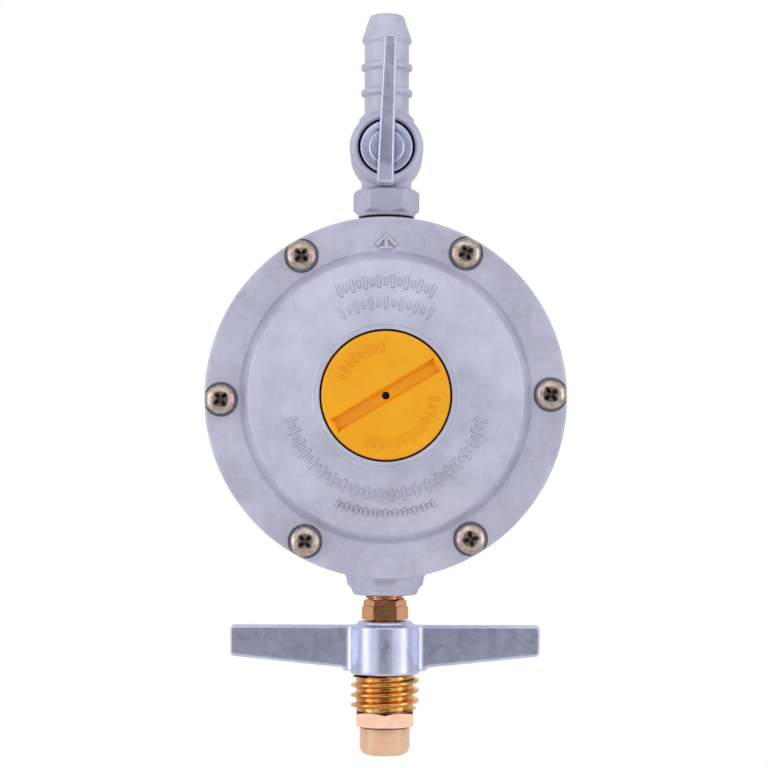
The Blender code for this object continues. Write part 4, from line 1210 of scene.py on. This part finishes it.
    def chamfer_boss(self, bottom: float, top: float) -> Solid:
        """Faceted inlet boss that flares to the flange, and the post inside the bowl.

        Args:
            bottom: height of its foot.
            top: height of the post's top.

        Returns:
            The solid.
        """
        rises = (
            (0.0, 7.3, 7.2), (0.5, 7.8, 7.7), (1.9, 8.3, 8.0), (2.3, 9.1, 8.4), (4.3, 9.4, 8.5),
            (6.6, 11.4, 8.6), (14.4, 9.0, 8.6), (15.5, 6.5, 6.5), (top - bottom, 6.5, 6.5),
        )
        tiers = [(bottom + rise, wide, deep) for rise, wide, deep in rises]
        return Solid.lofted("inlet_boss", ovals(tiers, 12, math.pi / 12), place(Way.UP))

    def bore_bowl(self, made: Solid, bottom: float, post: float, top: float, front: float) -> None:
        """Cut the body's bores.

        Args:
            made: the body.
            bottom: height of the inlet boss's foot.
            post: height of the post's top.
            top: height of the outlet boss's top.
            front: forward height of the flange.
        """
        nipple_top = span("inlet_nipple")[1].z + 0.15
        nozzle_low = span("orifice_nozzle")[0].z - 0.3
        inlet = [(0, post + 1), (4.3, post + 1), (4.3, nozzle_low), (2.5, nozzle_low), (2.5, nipple_top),
                 (4.9, nipple_top), (4.9, bottom - 1), (0, bottom - 1)]
        stem = span("outlet_valve_body")[0].z - 0.3
        outlet = [(0, top + 1), (5.3, top + 1), (5.3, stem), (3.6, stem), (3.6, self.centre + 10),
                  (0, self.centre + 10)]
        made.cut(Solid.turned("inlet_bore", inlet, place(Way.UP), 64))
        made.cut(Solid.turned("outlet_bore", outlet, place(Way.UP), 64))
        for x, y in self.screw_places():
            at = place(Way.FORWARD, (x, 0.0, self.centre + y))
            made.cut(Solid.bar("screw_bore", self.screw_hole, 4.4, front + 1, at, 24))
        pin = joint_place("valve_lever_swing")
        made.cut(Solid.bar("pin_bore", 1.15, -8, 8, place(Way.ACROSS, (0.0, pin.y, pin.z)), 32))


@dataclass
class OutletCock:
    """Cock body with its hose tail, and the plug with its lever."""

    barrel: float = 8.6
    plug: float = 6.2
    plug_gap: float = 0.4
    groove: float = 5.2
    rear_wall: float = 2.6
    collar: float = 6.75
    spigot: float = 5.0
    ring_radii: Point = (5.3, 6.7)
    bore: float = 3.0
    hex_corners: float = 15.7
    neck: float = 5.9
    shank: float = 5.25
    ridge: float = 6.05
    ridge_drops: Point = (12.45, 18.55)
    cone_length: float = 6.2
    cone_foot: float = 6.0
    cone_tip: float = 3.95
    lever_lean: float = math.radians(2.0)
    lever_half: float = 2.05
    lever_draft: float = 0.15
    lever_taper: float = 0.0145

    def __post_init__(self) -> None:
        """Read the places that the frame gives."""
        self.axis = joint_place("shutoff_turn").z
        low, high = span("outlet_valve_body")
        self.low, self.top = low.z, high.z
        self.front, self.back = -low.y, -high.y
        self.where = place(Way.FORWARD, (0.0, 0.0, self.axis))

    def build(self) -> None:
        """Build and dress every piece."""
        self.build_body()
        self.build_plug()
        self.build_fastening()

    def hose_tail(self) -> Solid:
        """Hose tail with its beads, from its tip into the barrel.

        Returns:
            The solid.
        """
        skirt = self.axis + self.barrel
        corners = self.tail_profile() + [
            (self.shank, skirt + 0.4, 0.9), (self.neck + 0.6, skirt - 0.9, 0), (self.neck, self.axis, 0),
            (0, self.axis, 0),
        ]
        return Solid.turned("hose_tail", rounded(corners, closed=False, steps=6), place(Way.UP), 128)

    def tail_profile(self) -> list[Corner]:
        """Corners of the hose tail, from its tip down to the barrel."""
        foot = self.top - self.cone_length
        corners: list[Corner] = [
            (0, self.top, 0), (self.cone_tip, self.top, 1.0), (self.cone_foot, foot, 0.5),
            (self.shank, foot - 0.8, 0.3),
        ]
        for drop in self.ridge_drops:
            middle = self.top - drop
            corners += [(self.shank, middle + 0.95, 0.2), (self.ridge, middle + 0.5, 0.4),
                        (self.ridge, middle - 0.5, 0.4), (self.shank, middle - 0.95, 0.2)]
        return corners

    def build_body(self) -> None:
        """Cock body: stem, hexagon, barrel and tail in one casting."""
        collar = self.low + 8.2
        hex_low = collar + 0.8
        hex_high = hex_low + 5.7
        corners = [
            (0, self.axis + 4, 0), (self.neck, self.axis + 4, 0), (self.neck, hex_low + 1, 0),
            (self.collar, hex_low + 0.4, 0), (self.collar, collar, 0.3),
            (self.spigot, collar, 0.2), (self.spigot, self.low, 0.4), (0, self.low, 0),
        ]
        made = Solid.turned("cock_casting", rounded(corners, closed=False, steps=6), place(Way.UP), 128)
        hexagon = Solid.hexagon("cock_hex", self.hex_corners, hex_low, hex_high, (0.7, 0.7))
        bore = self.plug + self.plug_gap
        barrel = rounded((
            (0, self.front, 0), (bore - 1.5, self.front, 0), (self.barrel, self.front, 1.8),
            (self.barrel, self.back, 0.9), (0, self.back, 0),
        ), closed=False, steps=8)
        made.add(hexagon, Solid.turned("cock_barrel", barrel, self.where, 128))
        web = (
            (hex_high - 0.2, 6.2, 6.2), (hex_high + 1.1, 5.7, 5.7), (hex_high + 2.6, 6.0, 5.9),
            (self.axis - 4.0, 7.6, 6.6),
        )
        made.add(Solid.lofted("cock_web", ovals(web, 48), place(Way.UP)))
        made.cast(0.22, 3).add(self.hose_tail())
        rear = self.back + self.rear_wall
        chamber = rounded((
            (0, self.front + 1, 0), (bore + 0.6, self.front + 1, 0), (bore + 0.5, self.front + 0.1, 0.3),
            (bore, self.front - 0.5, 0.3), (bore, rear, 0), (3.3, rear, 0), (3.3, self.back - 1, 0),
            (0, self.back - 1, 0),
        ), closed=False)
        made.cut(Solid.bar("gas_bore", self.bore, self.low - 1, self.top + 1, place(Way.UP), 64))
        made.cut(Solid.turned("plug_chamber", chamber, self.where, 96))
        made.smooth(50).dress(CAST_ZINC, HOUSING, "cast_zinc", "outlet_valve_body")
        ring_low, ring_high = span("outlet_seal_ring")
        inner, outer = self.ring_radii
        ring = rounded((
            (inner, ring_high.z, 0.1), (outer, ring_high.z, 0.25), (outer, ring_low.z, 0.25),
            (inner, ring_low.z, 0.1),
        ))
        seal = Solid.turned("fibre_ring", ring, place(Way.UP), 96)
        seal.smooth().dress(FIBRE, HOUSING, "fibre", "outlet_seal_ring")

    def build_plug(self) -> None:
        """Plug with its seal grooves, port, ringed face and thumb lever."""
        face = self.front - 0.1
        rear = self.back + self.rear_wall + 0.3
        corners: list[Corner] = [
            (0, face + 0.25, 0), (3.9, face - 0.05, 1.5), (4.25, face - 0.35, 0.12), (4.6, face - 0.05, 0.12),
            (self.plug, face - 0.25, 0.5),
        ]
        for spot in (4.7, -4.3):
            corners += [(self.plug, spot + 0.7, 0.1), (self.groove, spot + 0.7, 0.1),
                        (self.groove, spot - 0.7, 0.1), (self.plug, spot - 0.7, 0.1)]
        end = self.back - 0.3
        corners += [(self.plug, rear, 0.3), (3.0, rear, 0), (3.0, end, 0.2), (0, end, 0)]
        made = Solid.turned("cock_plug", rounded(corners, closed=False), self.where, 112)
        made.add(self.lever())
        made.cut(Solid.bar("plug_port", 2.9, self.axis - 13, self.axis + 13, place(Way.UP), 64))
        made.cut(Solid.bar("plug_screw_hole", 1.3, self.back - 2, self.back + 2.7, self.where, 32))
        made.smooth(45).dress(TUMBLED_ZINC, "shutoff", "cast_zinc", "shutoff_plug")

    def lever(self) -> Solid:
        """Thumb lever: a drafted blade with soft edges.

        Returns:
            The solid.
        """
        low, high = span("shutoff_plug")
        above = high.z - self.axis + 1.6
        below = self.axis - low.z - 0.6
        tip = -low.y
        face = self.front
        outline = rounded((
            (-below, face + 4.2, 1.2), (-below + 1.8, face + 2.6, 1.0), (-5.9, face + 0.7, 1.2),
            (-5.3, face - 1.5, 0), (5.3, face - 1.5, 0), (6.0, face + 0.8, 1.5), (9.2, face + 3.2, 4.0),
            (above, face + 5.2, 1.2), (above, tip - 0.5, 0.8), (2.0, tip, 6.0), (-5.2, tip - 0.3, 4.0),
            (-below, tip - 1.5, 1.2),
        ), steps=6)
        return self.blade_solid(outline, face, tip)

    def blade_solid(self, outline: Sequence[Point], face: float, tip: float) -> Solid:
        """Blade from its side outline, thinner towards its front edge.

        Args:
            outline: height and forward height of each point.
            face: forward height of the cock's face.
            tip: forward height of the blade's front edge.

        Returns:
            The solid.
        """
        sections = []
        for side in (-1, 1):
            section = []
            for up, forward in outline:
                reach = max(0.0, (forward - face) / (tip - face))
                half = self.lever_half - self.lever_draft * reach - self.lever_taper * (up + 10.0)
                section.append((side * half, up, forward))
            sections.append(section)
        lean = Matrix.Rotation(-self.lever_lean, 4, "Z")
        return Solid.lofted("lever_blade", sections, self.where @ lean).edged(0.55, 50, 4)

    def build_fastening(self) -> None:
        """Screw and spring washer behind the plug."""
        low, high = span("plug_spring_washer")
        front, back = -low.y, -high.y
        washer = rounded((
            (5.0, front, 0.12), (5.0, front - 0.6, 0.12), (1.3, back, 0.12), (1.3, back + 0.6, 0.12)
        ))
        made = Solid.turned("dished_washer", washer, self.where, 96)
        made.smooth().dress(STEEL, "shutoff", "steel", "plug_spring_washer")
        low, high = span("plug_screw")
        front, back = -low.y, -high.y
        screw = Solid.turned("cock_screw", rounded((
            (0, front, 0), (1.0, front, 0.2), (1.0, back + 1.5, 0), (2.6, back + 1.5, 0.2),
            (2.6, back + 0.3, 0.5), (1.6, back, 1.0), (0, back, 0),
        ), closed=False, steps=8), self.where, 64)
        slot = [(-3.0, -0.35), (3.0, -0.35), (3.0, 0.35), (-3.0, 0.35)]
        screw.cut(Solid.slab("screw_slot", slot, back - 1, back + 0.6, self.where))
        screw.smooth().dress(PLATED_SCREW, "shutoff", "steel", "plug_screw")


@dataclass
class InnerWorks:
    """Pieces inside that keep their frame shape, the diaphragm sheet and the main spring."""

    spring_radius: float = 9.4
    spring_wire: float = 1.6
    spring_turns: float = 4.25
    flat_turns: float = 0.6
    wire_sides: int = 16
    sheet_thickness: float = 1.0

    def build(self) -> None:
        """Dress the inner pieces and wind the spring."""
        finishes = {
            RUBBER: ("seat_pad", "plug_oring_front", "plug_oring_rear"),
            STEEL: ("backing_washer", "diaphragm_plate", "upper_spring_seat", "diaphragm_nut", "lever_pin"),
            DARK_STEEL: ("vent_screen",),
            TURNED_BRASS: ("inlet_filter", "diaphragm_post", "pad_holder", "orifice_nozzle"),
            CAST_ZINC: ("valve_lever",),
            DARK_PLASTIC: ("adjusting_screw",),
        }
        for finish, nodes in finishes.items():
            for node in nodes:
                self.dress_node(node, finish)
        self.stretch_diaphragm()
        self.wind_spring()

    def stretch_diaphragm(self) -> None:
        """Rubber sheet that is clamped at its rim, in the diaphragm's frame shape."""
        node = frame["nodes"]["diaphragm"]
        mesh = node.data.copy()
        mesh.transform(node.matrix_world)
        mesh.materials.clear()
        mesh.materials.append(RUBBER.material())
        sheet = bpy.data.objects.new("rubber_sheet", mesh)
        bpy.context.scene.collection.objects.link(sheet)
        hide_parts("diaphragm")
        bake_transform(sheet)
        LOG.info("rubber_sheet: %d faces between the housing and the plate", len(mesh.polygons))

    def dress_node(self, node: str, finish: Finish) -> None:
        """Give a node of the frame a finish.

        Args:
            node: the node's name.
            finish: its surface.
        """
        mesh = frame["nodes"][node].data
        if not mesh.materials:
            mesh.materials.append(finish.material())
        for i in range(len(mesh.materials)):
            mesh.materials[i] = finish.material()
        LOG.info("%s: frame shape in %s", node, finish.name)

    def wind_spring(self) -> None:
        """Main spring, wound in two halves."""
        low, high = span("main_spring")
        centre = joint_place("cap_turn").z
        halves = (
            ("coil_spring_rear", (0.0, 0.5), "diaphragm_centre", high.y),
            ("coil_spring_front", (0.5, 1.0), "adjuster_seat", low.y),
        )
        for name, part, body, end in halves:
            made = self.coil(name, part, -high.y, -low.y, place(Way.FORWARD, (0.0, 0.0, centre))).smooth()
            made.paint(STEEL, "steel", "main_spring")
            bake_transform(made.obj)
            LOG.info("%s: %d faces between the housing and %s", name, len(made.obj.data.polygons), body)

    def coil(self, name: str, part: Point, bottom: float, top: float, where: Matrix) -> Solid:
        """Stretch of a helical spring with closed ends.

        Args:
            name: the object's name.
            part: where the stretch starts and ends, as shares of the whole wire.
            bottom: height of the spring's foot.
            top: height of its top.
            where: matrix to world metres.

        Returns:
            The solid.
        """
        rise = top - bottom - self.spring_wire
        climbing = self.spring_turns - 2 * self.flat_turns
        steps = int(self.spring_turns * 20)
        sections = []
        for i in range(steps + 1):
            turns = self.spring_turns * (part[0] + (part[1] - part[0]) * i / steps)
            eased = min(1.0, max(0.0, (turns - self.flat_turns) / climbing))
            angle = 2 * math.pi * turns
            height = bottom + self.spring_wire / 2 + rise * eased
            section = []
            for x, y in circle(self.spring_wire / 2, self.wire_sides):
                radius = self.spring_radius + x
                section.append((radius * math.cos(angle), radius * math.sin(angle), height + y))
            sections.append(section)
        return Solid.lofted(name, sections, where)


@dataclass
class Studio:
    """Camera, soft lights and a plain pale stage."""

    distance: float = 500.0
    eye_height: float = 66.0
    aim_height: float = 86.65
    aim_side: float = -0.42
    lens: float = 99.6
    roll: float = math.radians(0.19)
    floor: float = -190.0
    floor_radius: float = 620.0
    sky_by_height: tuple[Point, ...] = ((0.2, 0.72), (0.8, 0.93))
    sky_by_depth: tuple[Point, ...] = (
        (0.0, 0.20), (0.025, 0.28), (0.07, 1.25), (0.25, 1.05), (0.46, 0.55), (0.62, 0.65), (0.75, 1.0),
    )

    def build(self) -> None:
        """Set up the camera, the lights, the sky and the stage."""
        self.set_camera()
        self.set_sky()
        self.add_light("left_softbox", (-560, -230, 130), (240, 560), 0.65)
        self.add_light("right_softbox", (560, -250, 120), (220, 520), 0.5)
        self.add_light("high_softbox", (-120, -520, 720), (800, 420), 0.4)
        self.lay_stage()

    def set_camera(self) -> None:
        """Camera in front of the cover, aimed a little upwards."""
        data = bpy.data.cameras.new("camera")
        data.lens = self.lens
        data.sensor_width = 36.0
        data.clip_start = 0.01
        data.clip_end = 20.0
        camera = bpy.data.objects.new("camera", data)
        eye = Vector((0.0, -self.distance, self.eye_height)) * MM
        aim = Vector((self.aim_side, 0.0, self.aim_height)) * MM
        camera.location = eye
        turn = (aim - eye).to_track_quat("-Z", "Y").to_matrix() @ Matrix.Rotation(self.roll, 3, "Z")
        camera.rotation_euler = turn.to_euler()
        bpy.context.scene.collection.objects.link(camera)
        bpy.context.scene.camera = camera

    def add_light(self, name: str, where: Spot, size: Point, power: float) -> None:
        """Rectangular softbox aimed at the regulator.

        Args:
            name: the light's name.
            where: its place, in millimetres.
            size: its width and height, in millimetres.
            power: its power, in watts.
        """
        data = bpy.data.lights.new(name, "AREA")
        data.shape = "RECTANGLE"
        data.size, data.size_y = size[0] * MM, size[1] * MM
        data.energy = power
        light = bpy.data.objects.new(name, data)
        light.location = Vector(where) * MM
        aim = Vector((0.0, 0.0, self.aim_height)) - Vector(where)
        light.rotation_euler = aim.to_track_quat("-Z", "Y").to_euler()
        bpy.context.scene.collection.objects.link(light)

    def set_sky(self) -> None:
        """White for the eye; for what it lights, a bright front with a dark middle and dim sides."""
        world = bpy.data.worlds.new("studio")
        bpy.context.scene.world = world
        world.use_nodes = True
        nodes, links = world.node_tree.nodes, world.node_tree.links
        back = nodes["Background"]
        coords = nodes.new("ShaderNodeTexCoord")
        split = nodes.new("ShaderNodeSeparateXYZ")
        links.new(coords.outputs["Generated"], split.inputs["Vector"])
        levels = []
        for axis, stops in (("Z", self.sky_by_height), ("Y", self.sky_by_depth)):
            share = nodes.new("ShaderNodeMapRange")
            share.inputs["From Min"].default_value = -1.0
            links.new(split.outputs[axis], share.inputs["Value"])
            ramp = nodes.new("ShaderNodeValToRGB")
            for number, (place_at, level) in enumerate(stops):
                stop = ramp.color_ramp.elements[number] if number < 2 else ramp.color_ramp.elements.new(1.0)
                stop.position, stop.color = place_at, (level, level, level, 1.0)
            links.new(share.outputs["Result"], ramp.inputs["Fac"])
            levels.append(ramp.outputs["Color"])
        product = nodes.new("ShaderNodeMath")
        product.operation = "MULTIPLY"
        links.new(levels[0], product.inputs[0])
        links.new(levels[1], product.inputs[1])
        links.new(product.outputs[0], back.inputs["Strength"])
        back.inputs["Color"].default_value = (0.96, 0.98, 1.0, 1.0)
        plain = nodes.new("ShaderNodeBackground")
        plain.inputs["Color"].default_value = (1.0, 1.0, 1.0, 1.0)
        plain.inputs["Strength"].default_value = 1.0
        path = nodes.new("ShaderNodeLightPath")
        mix = nodes.new("ShaderNodeMixShader")
        links.new(path.outputs["Is Camera Ray"], mix.inputs["Fac"])
        links.new(back.outputs["Background"], mix.inputs[1])
        links.new(plain.outputs["Background"], mix.inputs[2])
        links.new(mix.outputs["Shader"], nodes["World Output"].inputs["Surface"])

    def lay_stage(self) -> None:
        """Wide pale floor below the regulator."""
        shape = bmesh.new()
        bmesh.ops.create_circle(shape, cap_ends=True, segments=128, radius=self.floor_radius)
        made = Solid("stage_floor", shape, place(Way.UP, (0.0, 0.0, self.floor)))
        book = NodeBook("stage_white")
        clouds = book.noise(2.0)
        book.feed("Base Color", book.ramp(clouds, ((0.3, (0.90, 0.90, 0.90)), (0.7, (0.93, 0.93, 0.93)))))
        book.fix(Roughness=0.9)
        made.obj.data.materials.append(book.mat)


def main() -> None:
    """Build the regulator's pieces, then the studio."""
    logging.basicConfig(level=logging.INFO, format="%(message)s")
    bpy.context.scene.view_settings.view_transform = "Standard"
    for part in (InletFitting(), RoundBody(), OutletCock(), InnerWorks(), Studio()):
        LOG.info("building %s", type(part).__name__)
        part.build()


if __name__ == "__main__":
    main()
